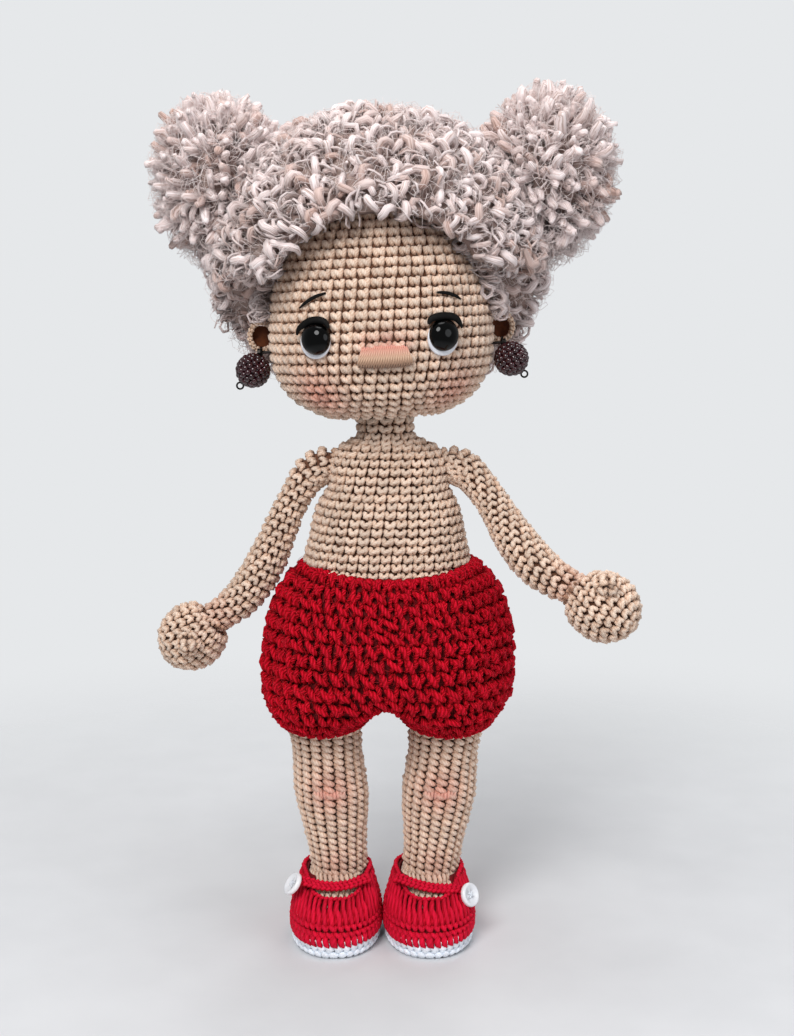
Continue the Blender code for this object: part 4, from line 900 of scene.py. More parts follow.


# Hair: a woolly ground taken from the CAD cap and buns, coloured with painted shade, then loops, thin curls and loose
# fibres on it

hair = {
    "cap": [("loops", 3.5, 5.2, 1.0, 31), ("curls", 3.8, 5.0, 0.95, 47), ("fibres", 1.95, 3.4, 0.95, 59)],
    "bun": [("locks", 3.7, 9.8, 1.05, 31), ("loops", 5.0, 8.4, 0.95, 33), ("curls", 4.6, 7.8, 0.9, 47),
            ("fibres", 1.5, 4.8, 0.95, 59)],
    "capCentre": (0, 8, 63), "groundCap": 0.93, "groundBun": 0.72, "voxel": 1.6, "lumps": (14, 420, 2.2),
    "bunShift": {"hair_bun_right": (1.2, 0, 0), "hair_bun_left": (-0.4, 0, -2.0)}, "clump": 260,
    "edge": [("loops", 58, 0.5, 0.85, 72), ("curls", 80, 0.8, 0.9, 73), ("fibres", 220, 1.4, 0.9, 74)],
    "hairline": [(-38, 46), (-34, 55), (-25.4, 68), (-13.3, 75.5), (-2.7, 78), (14, 74), (26, 63), (33, 52), (36, 44)],
}


def nodeCopy(node, name, material, factor, centre, seed):
    # the CAD node's own shape, merged, drawn in towards a centre and made lumpy
    source = bpy.data.objects[node]
    copy = source.copy()
    copy.data = source.data.copy()
    copy.name = name
    copy.hide_render = False
    bpy.context.scene.collection.objects.link(copy)
    selectOnly(copy)
    bpy.ops.object.mode_set(mode="EDIT")
    bpy.ops.mesh.select_all(action="SELECT")
    bpy.ops.mesh.remove_doubles(threshold=0.00001)
    bpy.ops.mesh.normals_make_consistent(inside=False)
    bpy.ops.object.mode_set(mode="OBJECT")
    remesh = copy.modifiers.new("wool", "REMESH")
    remesh.mode = "VOXEL"
    remesh.voxel_size = hair["voxel"] * mm
    remesh.use_smooth_shade = True
    bpy.ops.object.modifier_apply(modifier=remesh.name)
    co = np.array([v.co for v in copy.data.vertices])
    co = centre + (co - centre) * factor
    rng = np.random.RandomState(seed)
    count, narrow, height = hair["lumps"]
    waves = rng.normal(0, 1, (count, 3)) * narrow
    lumps = np.sin(co @ waves.T + rng.rand(count) * 6.28).sum(1) / count
    co += unit(co - centre) * (lumps * height * mm)[:, None]
    copy.data.vertices.foreach_set("co", co.astype(np.float32).ravel())
    copy.data.update()
    copy.data.materials.clear()
    copy.data.materials.append(material)
    return copy


def scatterOn(node, centre, step, seed, sink):
    # points spread evenly over the outer faces of a CAD node, with their outward directions
    source = bpy.data.objects[node].data
    rng = np.random.RandomState(seed)
    co = np.array([v.co for v in source.vertices])
    corners = np.array([list(face.vertices)[:3] for face in source.polygons])
    a, b, c = co[corners[:, 0]], co[corners[:, 1]], co[corners[:, 2]]
    normal = np.cross(b - a, c - a)
    area = np.linalg.norm(normal, axis=1)
    normal /= area[:, None] + 1e-15
    outer = ((a + b + c) / 3 - centre) * normal
    share = area * (outer.sum(1) > 0.0)
    count = int(share.sum() / 2 / (step * mm) ** 2 * 7)
    pick = rng.choice(len(share), count, p=share / share.sum())
    u, v = rng.rand(count), rng.rand(count)
    flip = u + v > 1
    u[flip], v[flip] = 1 - u[flip], 1 - v[flip]
    points = a[pick] + (b[pick] - a[pick]) * u[:, None] + (c[pick] - a[pick]) * v[:, None]
    kept = []
    cells = {}
    size = step * mm
    for i, point in enumerate(points):
        key = tuple((point // size).astype(int))
        near = [j for dx in (-1, 0, 1) for dy in (-1, 0, 1) for dz in (-1, 0, 1)
                for j in cells.get((key[0] + dx, key[1] + dy, key[2] + dz), ())]
        if near and np.min(np.linalg.norm(points[near] - point, axis=1)) < size:
            continue
        cells.setdefault(key, []).append(i)
        kept.append(i)
    normals = normal[pick][kept]
    return points[kept] - normals * sink * mm, normals


def hairPlaces(points, normals, size, spread, seed, droop=0.0, radial=None):
    # turns each curl at random round its outward direction, and leans it a little
    rng = np.random.RandomState(seed)
    out = normals + rng.normal(0, spread, normals.shape)
    if radial is not None:
        out += radial
    out[:, 2] -= droop
    out = unit(out)
    side = unit(np.cross(out, rng.normal(0, 1, out.shape)))
    other = np.cross(out, side)
    scale = (size * (0.82 + 0.32 * rng.rand(len(points))))[:, None] * mm
    return np.stack([points, side * scale, other * scale, out * scale], 1)


def curlLine(kind, width, tall, reach, radius, seed, knots=8):
    # one curl's path: an arch, a corkscrew, a hook or a lock that stands out and turns over at its tip
    rng = np.random.RandomState(seed)
    line = []
    for i in range(knots):
        s = i / (knots - 1)
        if kind == "arch":
            angle = math.radians(-35 + 250 * s)
            point = (width / 2 * math.cos(angle), reach * (s - 0.5), tall * (0.42 + 0.58 * math.sin(angle)))
        elif kind == "screw":
            angle = math.radians(-60 + 480 * s)
            point = (width / 2 * math.cos(angle), reach * (s - 0.5), tall * (0.5 + 0.5 * math.sin(angle)))
        elif kind == "lock":
            bend = max(0.0, s - 0.6) / 0.4
            point = (width * (0.35 * math.sin(s * 4.6) + 0.55 * bend ** 1.5), reach * math.sin(s * 3.4),
                     tall * (s if s < 0.6 else 0.6 + 0.4 * math.sin(bend * 1.9) / math.sin(1.9)))
        else:
            angle = math.radians(-80 + 330 * s)
            swing = width / 2 * (1.15 - 0.6 * s)
            point = (swing * math.cos(angle), reach * (s - 0.5), tall * (0.45 + 0.55 * s * math.sin(angle)) + s)
        wander = rng.normal(0, 0.2, 3)
        taper = radius * (0.3 + 0.8 * math.sin(math.pi * min(1, 0.08 + 0.84 * s)) ** 0.8)
        line.append((*[p + w for p, w in zip(point, wander)], taper))
    return line


hairShapes = {
    "locks": [strandShape("lock", [curlLine("lock", w, t, r, size, 80 + i)])
              for i, (w, t, r, size) in enumerate([(2.2, 9.6, 1.2, 1.45), (1.6, 10.4, -1.0, 1.2), (2.8, 8.6, 1.6, 1.55),
                                                   (-2.2, 9.4, 0.9, 1.3), (-1.8, 10.6, -1.4, 1.4)])],
    "loops": [strandShape("curl", [curlLine(kind, w, t, r, size, 20 + i)])
              for i, (kind, w, t, r, size) in enumerate([
                  ("arch", 5.0, 5.8, 1.8, 1.15), ("arch", 4.6, 6.6, 1.2, 0.95), ("screw", 4.6, 5.4, 5.2, 0.9),
                  ("hook", 5.2, 5.6, 1.6, 1.05), ("arch", 6.0, 5.0, 3.0, 1.2), ("screw", 5.2, 4.8, 4.2, 0.85),
                  ("hook", 4.6, 6.2, 2.6, 1.0), ("arch", 4.0, 5.4, 3.6, 1.3)])],
    "curls": [strandShape("thinCurl", [curlLine(kind, w, t, r, 0.42, 40 + i, 9)], 0)
              for i, (kind, w, t, r) in enumerate([
                  ("arch", 6.0, 6.6, 2.4), ("screw", 5.0, 6.2, 6.0), ("hook", 6.4, 6.6, 1.6), ("screw", 4.0, 6.6, 3.4),
                  ("arch", 7.0, 5.8, 4.0)])],
    "fibres": [strandShape("fibre", [curlLine(kind, w, t, r, 0.07, 60 + i, 7)], 0)
               for i, (kind, w, t, r) in enumerate([
                   ("hook", 4.6, 6.2, 3.4), ("arch", 7.4, 5.6, 3.0), ("screw", 3.6, 6.6, 5.4),
                   ("hook", 7.0, 5.4, 5.0)])],
}

centres = {"hair_cap": np.array(headFrame @ np.array([*(v * mm for v in hair["capCentre"]), 1]))[:3]}
for side in sides:
    low, high = (np.array(corner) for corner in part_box("hair_bun_" + side))
    centres["hair_bun_" + side] = (low + high) / 2

clumpWaves = np.random.RandomState(83).normal(0, 1, (10, 3)) * hair["clump"]


def clumpTone(points):
    # lighter and browner patches, each about a centimetre wide
    return np.clip(0.58 + np.sin(points @ clumpWaves.T + np.arange(10)).sum(1) / 8, 0, 1)


identity = np.eye(4)
for node, centre in centres.items():
    isCap = node == "hair_cap"
    ground = nodeCopy(node, node + "_ground", hairShadowSheet, hair["groundCap" if isCap else "groundBun"], centre,
                      seed=len(node))
    pieces = [ground]
    for label, step, sink, size, seed in hair["cap" if isCap else "bun"]:
        material = hairFibre if label == "fibres" else hairWool
        points, normals = scatterOn(node, centre, step, seed, sink)
        radial = None
        if not isCap:
            radial = unit(points - centre)
            # a lock stands only where the bun's surface faces away from its middle, and not underneath
            stands = ((radial * normals).sum(1) > 0.45) & (normals[:, 2] > (-0.6 if label == "locks" else -2))
            points, normals, radial = points[stands], normals[stands], radial[stands] * 1.2
            points = points + np.array(hair["bunShift"][node]) * mm
        places = hairPlaces(points, normals, size, 0.22 if label == "locks" else 0.38, seed + 1, radial=radial)
        pieces.append(layCopies(node + "_" + label, hairShapes[label], places, identity, material, seed=seed + 2,
                                toneRule=clumpTone))
        print(node, label, len(points), "pieces,", len(pieces[-1].data.polygons) * 2, "triangles")
    for piece in pieces:
        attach(piece, "head")
    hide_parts(node)

# curls that hang over the edge of the cap round the face
edgeRng = np.random.RandomState(71)
for label, count, out, size, seed in hair["edge"]:
    spots = smoothLine(hair["hairline"], edgeRng.rand(count))
    points, normals = [], []
    for x, rise in spots:
        x = np.clip(x + edgeRng.normal(0, 0.6), -35, 35)
        point, normal = headFront(x * mm, (rise + edgeRng.normal(1.6, 1.2)) * mm, out * mm)
        points.append(point)
        normals.append(normal)
    points, normals = np.array(points), np.array(normals)
    places = hairPlaces(points, normals, size, 0.3, seed, droop=0.35)
    fringe = layCopies("hair_edge_" + label, hairShapes[label], places, headFrame,
                       hairFibre if label == "fibres" else hairWool, seed=seed + 5, toneRule=clumpTone)
    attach(fringe, "head")

# loose red fibres over the shorts
low, high = (np.array(corner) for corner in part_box("shorts"))
points, normals = scatterOn("shorts", (low + high) / 2, 2.4, 64, 1.7)
outside = (np.abs(points[:, 0]) > 12 * mm) | (points[:, 2] > 86 * mm)
outside &= (points[:, 2] < 125 * mm) & (np.abs(normals[:, 0]) < 0.8)
points, normals = points[outside], normals[outside]
places = hairPlaces(points, normals, 0.55, 0.5, 65)
fuzz = layCopies("shorts_fuzz", hairShapes["fibres"], places, identity, redFibre, seed=66)
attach(fuzz, "torso")


# Shoes

shoe = {
    "middle": {"right": 16.6, "left": 14.8}, "front": 5.0, "length": 46.4, "width": 30.6,
    "height": 20.5, "collarBack": 8.0, "sole": 4.8,
    "levels": (0, 0.17, 0.395, 0.585, 0.775, 0.905, 1),
    "long": (0.975, 1.0, 0.95, 0.837, 0.685, 0.578, 0.517),
    "wide": (0.975, 1.0, 0.975, 0.915, 0.843, 0.797, 0.775),
    "shift": (0, 0, 0.075, 0.26, 0.585, 0.86, 1), "power": 2.25,
    "throat": (-8.0, 9.4, 8.6), "spikes": 46, "wool": 0.8, "footInset": 4.3, "footShell": 4.9,
}


def shoeStations():
    line = [(0.0, 20.4, 12.6, 0), (1.4, 22.6, 14.9, 0), (3.2, 22.9, 15.1, 0)]
    for level, long, wide, shift in zip(shoe["levels"], shoe["long"], shoe["wide"], shoe["shift"]):
        line.append((shoe["sole"] + (shoe["height"] - shoe["sole"]) * level, shoe["length"] / 2 * long,
                     shoe["width"] / 2 * wide, shoe["collarBack"] * shift))
    return line


shoeLine = shoeStations()


def shoeMiddle(sign):
    return sign * shoe["middle"]["left" if sign > 0 else "right"]


def shoeForm(sign, inset):
    def form(t, turn):
        z, long, wide, shift = smoothLine(shoeLine, t).T * mm
        return ovalPoints(shoeMiddle(sign) * mm, shift - shoe["front"] * mm, z, wide - inset * mm,
                          long - inset * mm, turn, shoe["power"])
    return form


def shareAt(line, z):
    fine = np.linspace(0, 1, 600)
    return float(np.interp(z, smoothLine(line, fine)[:, 0], fine))


def inThroat(points, sign, grow):
    y, deep, wide = shoe["throat"]
    return (np.hypot((points[:, 0] / mm - shoeMiddle(sign)) / (wide + grow),
                     (points[:, 1] / mm - y) / (deep + grow)) < 1) & (points[:, 2] > 9 * mm)


soleStitch = [
    [(-1.3, 1.0, -0.3, 0.5), (-0.9, 0.7, 0.5, 0.8), (0.1, -0.2, 0.6, 0.95), (0.9, -1.2, -0.2, 0.6)],
    [(1.3, 1.2, -0.4, 0.5), (1.0, 0.6, 0.3, 0.8), (0.6, -0.6, 0.3, 0.8), (0.3, -1.3, -0.4, 0.5)],
]
soleSize = (3.0, 2.7)
soleShapes = [stitchVariant(soleStitch, seed, 0.06, soleSize) for seed in (21, 22)]
flatStitch = [
    [(-1.5, 0.3, -0.1, 0.7), (-0.6, 0.35, 0.35, 1.2), (0.5, 0.0, 0.4, 1.25), (1.5, -0.2, -0.1, 0.8)],
    [(-0.9, -1.1, 0.1, 0.7), (0.0, -0.8, 0.3, 0.9), (0.9, -1.0, 0.1, 0.7)],
]
flatShapes = [squashed(stitchVariant(flatStitch, seed, 0.05, soleSize), 1.06, 1.1, 0.55) for seed in (43, 44)]
spikeStitch = [[(0.95, -1.8, 0.3, 0.2), (0.65, -1.05, 0.65, 0.5), (0.15, 0.0, 0.8, 0.85), (-0.2, 1.0, 0.5, 1.1),
                (-0.3, 1.8, -0.2, 0.8)]]
spikeShapes = [stitchVariant(spikeStitch, seed, 0.04, (2.1, 3.6)) for seed in (23, 24)]
tallStitch = [
    [(0.6, -3.4, -0.3, 0.6), (0.75, -2.5, 0.6, 0.95), (0.45, -1.0, 0.95, 1.0), (-0.35, 0.7, 0.95, 0.95),
     (-0.3, 2.2, 0.75, 0.95), (0.2, 3.4, 0.1, 0.85)],
    [(-0.75, -3.2, -0.2, 0.5), (-0.7, -1.8, 0.4, 0.65), (-1.0, 0.3, 0.4, 0.6), (-0.9, 1.8, 0.3, 0.6),
     (-0.6, 3.3, 0.1, 0.7)],
]
tallShapes = [stitchVariant(tallStitch, seed, 0.12, (2.4, 6.6)) for seed in (25, 26, 27, 45)]
strapLine = {
    "right": [(-11.2, -9.6, 20.6), (-9.2, -11.0, 20.9), (-5.0, -12.8, 20.0), (0, -13.4, 19.4), (5.0, -13.2, 19.7),
              (9.0, -12.6, 20.6), (11.2, -12.2, 20.7), (12.8, -12.0, 20.0), (13.9, -11.9, 18.8), (14.4, -11.9, 17.8)],
    "left": [(-11.2, -9.8, 20.9), (-9.2, -11.2, 21.2), (-5.0, -12.9, 20.3), (0, -13.6, 19.2), (4.6, -13.4, 18.7),
             (8.2, -12.9, 18.5), (10.4, -12.5, 17.7), (11.8, -12.3, 16.4), (12.6, -12.2, 15.2), (13.0, -12.2, 14.4)],
}
strapOut = [(-0.5, -0.3, 0.85), (-0.3, -0.5, 0.8), (-0.1, -0.6, 0.75), (0, -0.65, 0.75), (0.1, -0.6, 0.75),
            (0.35, -0.5, 0.8), (0.7, -0.3, 0.7), (1, -0.2, 0.4), (1, -0.2, 0.25), (1, -0.2, 0.15)]
strapRows = (-1.05, 0.0, 1.05)


def ringCells(low, high, count, seam=0.0):
    width = 2 * math.pi / count
    return [(low, high, seam + (i + 0.5) * width, width) for i in range(count)]


for side, sign in sides.items():
    form = shoeForm(sign, shoe["wool"])
    middle = shoeMiddle(sign)
    white, red = [], []
    rowEdges = [shareAt(shoeLine, z) for z in (0.35, 2.6, 4.9, 7.0)]
    for k in range(3):
        cells = ringCells(rowEdges[k], rowEdges[k + 1], 38, 0.08 * k)
        white.append(layOnForm("shoe_sole_row%d_%s" % (k, side), flatShapes, form, cells, dollFrame, whiteCotton,
                               seed=71 + k))
    spikeCells = ringCells(shareAt(shoeLine, 3.7), shareAt(shoeLine, 8.0), shoe["spikes"])
    red.append(layOnForm("shoe_spikes_" + side, spikeShapes, form, spikeCells, dollFrame, redCotton, seed=73))
    rows = [(7.3, 9.3), (9.1, 11.1)]
    for k, (low, high) in enumerate(rows):
        cells = ringCells(shareAt(shoeLine, low), shareAt(shoeLine, high), 44, 0.05 * k)
        red.append(layOnForm("shoe_row%d_%s" % (k, side), soleShapes, form, cells, dollFrame, redCotton, seed=75 + k))
    # tall stitches over the toes end at the throat, and short rows close the sides and the heel
    tallCells, sideCells = [], []
    fine = np.linspace(shareAt(shoeLine, 10.6), 0.985, 120)
    count = 48
    for i in range(count):
        turn = (i + 0.5) / count * 2 * math.pi
        line = form(fine, np.full(120, turn))
        blocked = inThroat(line, sign, 0.3)
        facing = math.cos(turn + math.pi / 2)
        if facing > 0.2:
            last = fine[max(4, np.argmax(blocked))] if blocked.any() else fine[-18]
            tallCells.append((fine[0], last, turn, 2 * math.pi / count))
    for k, (low, high) in enumerate(((10.5, 12.9), (12.7, 15.1), (14.9, 17.4), (17.2, 19.8))):
        for cell in ringCells(shareAt(shoeLine, low), shareAt(shoeLine, high), 36, 0.06 * k):
            if math.cos(cell[2] + math.pi / 2) < 0.22:
                sideCells.append(cell)
    red.append(layOnForm("shoe_vamp_" + side, tallShapes, form, tallCells, dollFrame, redCotton, seed=77))
    red.append(layOnForm("shoe_sides_" + side, soleShapes, form, sideCells, dollFrame, redCotton, seed=78))
    shellRule = lambda points: ~inThroat(points, sign, -1.3)
    under = wrapSheet("shoe_under_" + side, shoeForm(sign, shoe["wool"] + 0.5), 72, 40, redShadowSheet, dollFrame, 0,
                      shareAt(shoeLine, 5.0), 0.985, keep=shellRule)
    thicken = under.modifiers.new("wall", "SOLIDIFY")
    thicken.thickness = 0.9 * mm
    thicken.offset = -1
    selectOnly(under)
    bpy.ops.object.modifier_apply(modifier="wall")
    red.append(under)
    white.append(wrapSheet("shoe_sole_under_" + side, shoeForm(sign, shoe["wool"] + 0.4), 72, 8, whiteShadowSheet,
                           dollFrame, 0, 0.0, shareAt(shoeLine, 7.0)))
    # the edge cord: round the throat in front, then up and round the ankle
    y, deep, wide = shoe["throat"]
    edge, edgeOut = [], []
    turns = np.linspace(-math.pi, 0, 60)
    grid = form(np.repeat(np.linspace(0.3, 0.985, 60), 60), np.tile(turns, 60)) / mm
    for k in range(28):
        angle = -math.pi / 2 + k / 28 * 2 * math.pi
        ringPoint = form(np.array([0.985]), np.array([angle]))[0] / mm - np.array([middle, 0, 0])
        lobe = np.array([(wide + 0.2) * math.cos(angle), y + (deep + 0.2) * math.sin(angle), 0])
        if math.sin(angle) < -0.35:
            near = grid[np.argmin(np.hypot(grid[:, 0] - middle - lobe[0], grid[:, 1] - lobe[1]))]
            edge.append((near[0], near[1], near[2] + 0.5))
            edgeOut.append((0, -0.5, 1))
        else:
            edge.append((ringPoint[0] + middle, ringPoint[1], ringPoint[2] + 0.3))
            edgeOut.append((math.cos(angle) * 0.5, math.sin(angle) * 0.5, 1))
    cord = pathPlaces(np.array(edge) * mm, 1.5 * mm, edgeOut, closed=True)
    red.append(layCopies("shoe_edge_" + side, ropeShapes, cord, dollFrame, redCotton, thick=1.1, seed=79))
    strapPoints = np.array([(middle + sign * x, py, z) for x, py, z in strapLine[side]])
    outs = np.array([(sign * ox, oy, oz) for ox, oy, oz in strapOut])
    way = np.gradient(strapPoints, axis=0)
    across = unit(np.cross(outs, way))
    ropes = [pathPlaces((strapPoints + across * shift) * mm, 1.55 * mm, outs) for shift in strapRows]
    strap = layCopies("strap_" + side, ropeShapes, np.concatenate(ropes[::2]), dollFrame, redCotton, thick=1.15,
                      seed=80)
    strapMiddle = layCopies("strap_middle_" + side, mirroredShapes, ropes[1], dollFrame, redCotton, thick=1.15,
                            seed=82)
    for piece in (strap, strapMiddle):
        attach(piece, "strap_" + side)
    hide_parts("shoe_strap_" + side)
    for piece in red:
        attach(piece, "torso")
    for piece in white:
        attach(piece, "torso")
    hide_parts("shoe_upper_" + side)
    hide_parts("shoe_sole_" + side)
    # the foot inside, seen through the throat
    footForm = shoeForm(sign, shoe["footInset"])
    footCells = []
    for k in range(7):
        low = shareAt(shoeLine, 8.5 + 1.9 * k)
        high = shareAt(shoeLine, 10.6 + 1.9 * k)
        footCells += [cell for cell in ringCells(low, high, 30) if math.cos(cell[2] + math.pi / 2) > -0.2]
    foot = layOnForm("foot_stitches_" + side, barShapes, footForm, footCells, dollFrame, skinYarn, seed=81,
                     extra=withBlush([((sign * 17, -8, 24), 5, 0.3)]))
    footShell = wrapSheet("foot_shell_" + side, shoeForm(sign, shoe["footShell"]), 40, 24, skinShadowSheet, dollFrame, 0,
                          shareAt(shoeLine, 6.5), 1.0)
    for piece in (foot, footShell):
        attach(piece, "torso")
    print("shoe", side)


# Face: nose bar, eyes, whites, lids and brows

face = {
    "noseSide": 1.2, "noseRise": 33.2, "noseWidth": 16.0, "noseTall": 6.4, "noseStrands": 22,
    "noseTaper": 0.17, "noseSink": 0.3,
    "noseThread": [(-0.5, 0.1, 0.3), (-0.45, 1.6, 0.43), (-0.26, 2.6, 0.47), (-0.02, 2.3, 0.47), (0.2, 1.3, 0.42),
                   (0.42, 0.8, 0.38), (0.52, 0.1, 0.3)],
    "eyeRadius": 5.0, "eyeDome": 4.0, "whiteRadius": 5.3,
    "whiteShift": {"right": (-0.8, -0.85), "left": (0.1, -1.05)},
    "lids": {
        "right": [(4.7, 3.1, 0.5), (3.6, 4.9, 0.95), (1.4, 5.6, 1.15), (-1.4, 5.4, 1.2), (-4.2, 4.4, 1.1),
                  (-6.2, 3.0, 0.75), (-7.0, 1.3, 0.3)],
        "left": [(-5.2, 3.5, 0.5), (-4.2, 5.0, 1.0), (-1.6, 5.6, 1.2), (1.6, 5.6, 1.2), (4.2, 5.0, 1.1),
                 (5.7, 3.6, 0.8), (6.7, 1.8, 0.3)],
    },
    "brows": {
        "right": [(-15.6, 52.8), (-17.8, 52.2), (-20.0, 51.3), (-22.0, 50.1), (-23.9, 48.6)],
        "left": [(17.5, 51.6), (19.4, 51.5), (21.2, 51.1), (23.0, 50.4), (24.7, 49.3)],
    },
}


def frameAt(x, rise, out=0.0):
    # a frame on the front of the head: x to the viewer's right, y up, z out of the head, in metres
    point, normal = headFront(x * mm, rise * mm, out * mm)
    z = normal.normalized()
    x = Vector((0, 0, 1)).cross(z).normalized()
    y = z.cross(x)
    return np.array(Matrix((x, y, z)).transposed().to_4x4()) + np.array(
        [[0, 0, 0, point.x], [0, 0, 0, point.y], [0, 0, 0, point.z], [0, 0, 0, 0]])


def threadPiece(name, knots, material, matrix, resolution=3, smooth=8):
    # one thread of changing thickness, given in millimetres
    fine = smoothLine(knots, np.linspace(0, 1, smooth * (len(knots) - 1) + 1))
    fine[:, 3] = np.maximum(fine[:, 3], 0.05)
    piece = yarnTube(name, [fine], resolution, caps=True)
    moveInto(piece, matrix, mm)
    bpy.ops.object.shade_smooth()
    piece.data.materials.append(material)
    return piece


def turnedPiece(name, profile, material, matrix, steps=40):
    # a profile of radius and height in millimetres, spun round its axis
    deselectAll()
    bpy.ops.mesh.primitive_circle_add(vertices=steps, radius=profile[0][0] * mm, fill_type="NGON",
                                      location=(0, 0, profile[0][1] * mm))
    piece = bpy.context.object
    piece.name = name
    bpy.ops.object.transform_apply(location=True, rotation=True, scale=True)
    bpy.ops.object.mode_set(mode="EDIT")
    bpy.ops.mesh.select_all(action="SELECT")
    for (r0, z0), (r1, z1) in zip(profile, profile[1:]):
        bpy.ops.mesh.extrude_region_move(TRANSFORM_OT_translate={"value": (0, 0, (z1 - z0) * mm)})
        factor = max(r1, 0.02) / max(r0, 0.02)
        bpy.ops.transform.resize(value=(factor, factor, 1), center_override=(0, 0, z1 * mm))
    bpy.ops.mesh.select_all(action="SELECT")
    bpy.ops.mesh.normals_make_consistent(inside=False)
    bpy.ops.object.mode_set(mode="OBJECT")
    moveInto(piece, matrix)
    bpy.ops.object.shade_smooth()
    piece.data.materials.append(material)
    return piece


noseLines = []
for k in range(face["noseStrands"]):
    share = (k + 0.5) / face["noseStrands"] * 2 - 1
    tall = face["noseTall"] * (1 - 0.18 * abs(share) ** 3) * (1 + 0.03 * math.sin(k * 2.3))
    line = []
    for y, z, radius in face["noseThread"]:
        lean = 1 - face["noseTaper"] * max(0, y + 0.3)
        point, _ = headFront((face["noseSide"] + share * lean * face["noseWidth"] / 2) * mm,
                             (face["noseRise"] + y * tall) * mm, (z - face["noseSink"]) * mm)
        line.append((*(point / mm), radius))
    noseLines.append(line)
noseShape = strandShape("noseBar", noseLines)
noseTop = {"blush": lambda points: np.clip((points[:, 2] / mm - face["noseRise"] - 0.4) / 1.6, 0, 1) * 0.6}
one = np.array([[[0, 0, 0], [mm, 0, 0], [0, mm, 0], [0, 0, 1]]], float)
noseShape["co"] = noseShape["co"] * np.array([1, 1, mm])
nosePiece = layCopies("nose_bar", [noseShape], one, headFrame, skinYarn, extra=noseTop, toneSpread=0)
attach(nosePiece, "head")
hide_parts("nose")

for side, sign in sides.items():
    place = headFrame @ frameAt(*head["eyes"][side])
    dome = [(face["eyeRadius"] * math.cos(math.radians(a)), 1.4 + face["eyeDome"] * math.sin(math.radians(a)))
            for a in range(0, 90, 9)]
    eye = turnedPiece("eye_dome_" + side, [(1.5, -8.0), (1.5, 0.9), (face["eyeRadius"] - 0.3, 1.0)] + dome
                      + [(0.02, 1.4 + face["eyeDome"])], eyeGloss, place, 48)
    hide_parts("eye_" + side)
    shifted = place.copy()
    aside, down = face["whiteShift"][side]
    shifted[:3, 3] += place[:3, 0] * aside * mm + place[:3, 1] * down * mm
    white = turnedPiece("eye_felt_" + side, [(5.0, 0.3), (face["whiteRadius"], 0.6), (face["whiteRadius"], 1.15),
                                             (5.0, 1.45), (0.02, 1.45)], eyeWhiteFelt, shifted, 48)
    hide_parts("eye_white_" + side)
    lidLine = [(x, y, 2.1 - abs(x) * 0.07, r) for x, y, r in face["lids"][side]]
    lid = threadPiece("lid_" + side, lidLine, blackThread, place)
    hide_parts("eyelid_" + side)
    browLine = []
    for k, (x, rise) in enumerate(face["brows"][side]):
        point, _ = headFront(x * mm, rise * mm, 0.75 * mm)
        browLine.append((*(point / mm), (0.35, 0.5, 0.55, 0.5, 0.25)[k]))
    brow = threadPiece("brow_" + side, browLine, blackThread, headFrame)
    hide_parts("eyebrow_" + side)
    for piece in (eye, white, lid, brow):
        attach(piece, "head")
print("face")


# Buttons: a turned disc with a raised rim, four holes and the white cotton thread that holds it

button = {
    "profile": [(0.02, -0.9), (3.4, -0.9), (3.9, -0.5), (4.0, 0.1), (3.8, 0.75), (3.3, 0.95), (2.9, 0.75), (2.6, 0.4),
                (0.02, 0.35)],
    "holeRadius": 0.42, "holeSpread": 1.0,
    "at": {"right": ((-30.7, -13.2, 20.4), (-0.74, -0.3, 0.6)), "left": ((28.3, -13.9, 16.8), (0.72, -0.6, 0.36))},
}
for side, sign in sides.items():
    spot, out = (Vector(v) for v in button["at"][side])
    z = out.normalized()
    x = Vector((0, 0, 1)).cross(z).normalized()
    place = Matrix((x, z.cross(x), z)).transposed().to_4x4()
    place.translation = spot * mm
    place = dollFrame @ np.array(place)
    disc = turnedPiece("button_" + side, button["profile"], buttonWhite, np.eye(4), 44)
    cutters = []
    for k in range(4):
        angle = math.pi / 4 + k * math.pi / 2
        deselectAll()
        bpy.ops.mesh.primitive_cylinder_add(vertices=16, radius=button["holeRadius"] * mm, depth=6 * mm, location=(
            button["holeSpread"] * mm * math.cos(angle), button["holeSpread"] * mm * math.sin(angle), 0))
        cutters.append(bpy.context.object)
    for cutter in cutters:
        hole = disc.modifiers.new("hole", "BOOLEAN")
        hole.operation = "DIFFERENCE"
        hole.solver = "EXACT"
        hole.object = cutter
        selectOnly(disc)
        bpy.ops.object.modifier_apply(modifier=hole.name)
        bpy.data.objects.remove(cutter)
    disc.data.materials.clear()
    disc.data.materials.append(buttonWhite)
    moveInto(disc, place)
    reach = button["holeSpread"] * math.cos(math.pi / 4)
    thread = [threadPiece("button_thread_%s_%d" % (side, k), [
        (-reach, -reach * way, 0.0, 0.3), (-reach, -reach * way, 0.45, 0.3), (0, 0, 0.6 + 0.25 * k, 0.32),
        (reach, reach * way, 0.45, 0.3), (reach, reach * way, 0.0, 0.3)], whiteCotton, place, 2)
        for k, way in enumerate((1, -1))]
    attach(disc, "torso")
    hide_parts("shoe_button_" + side)
    for piece in thread:
        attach(piece, "torso")
print("buttons")


# Ears

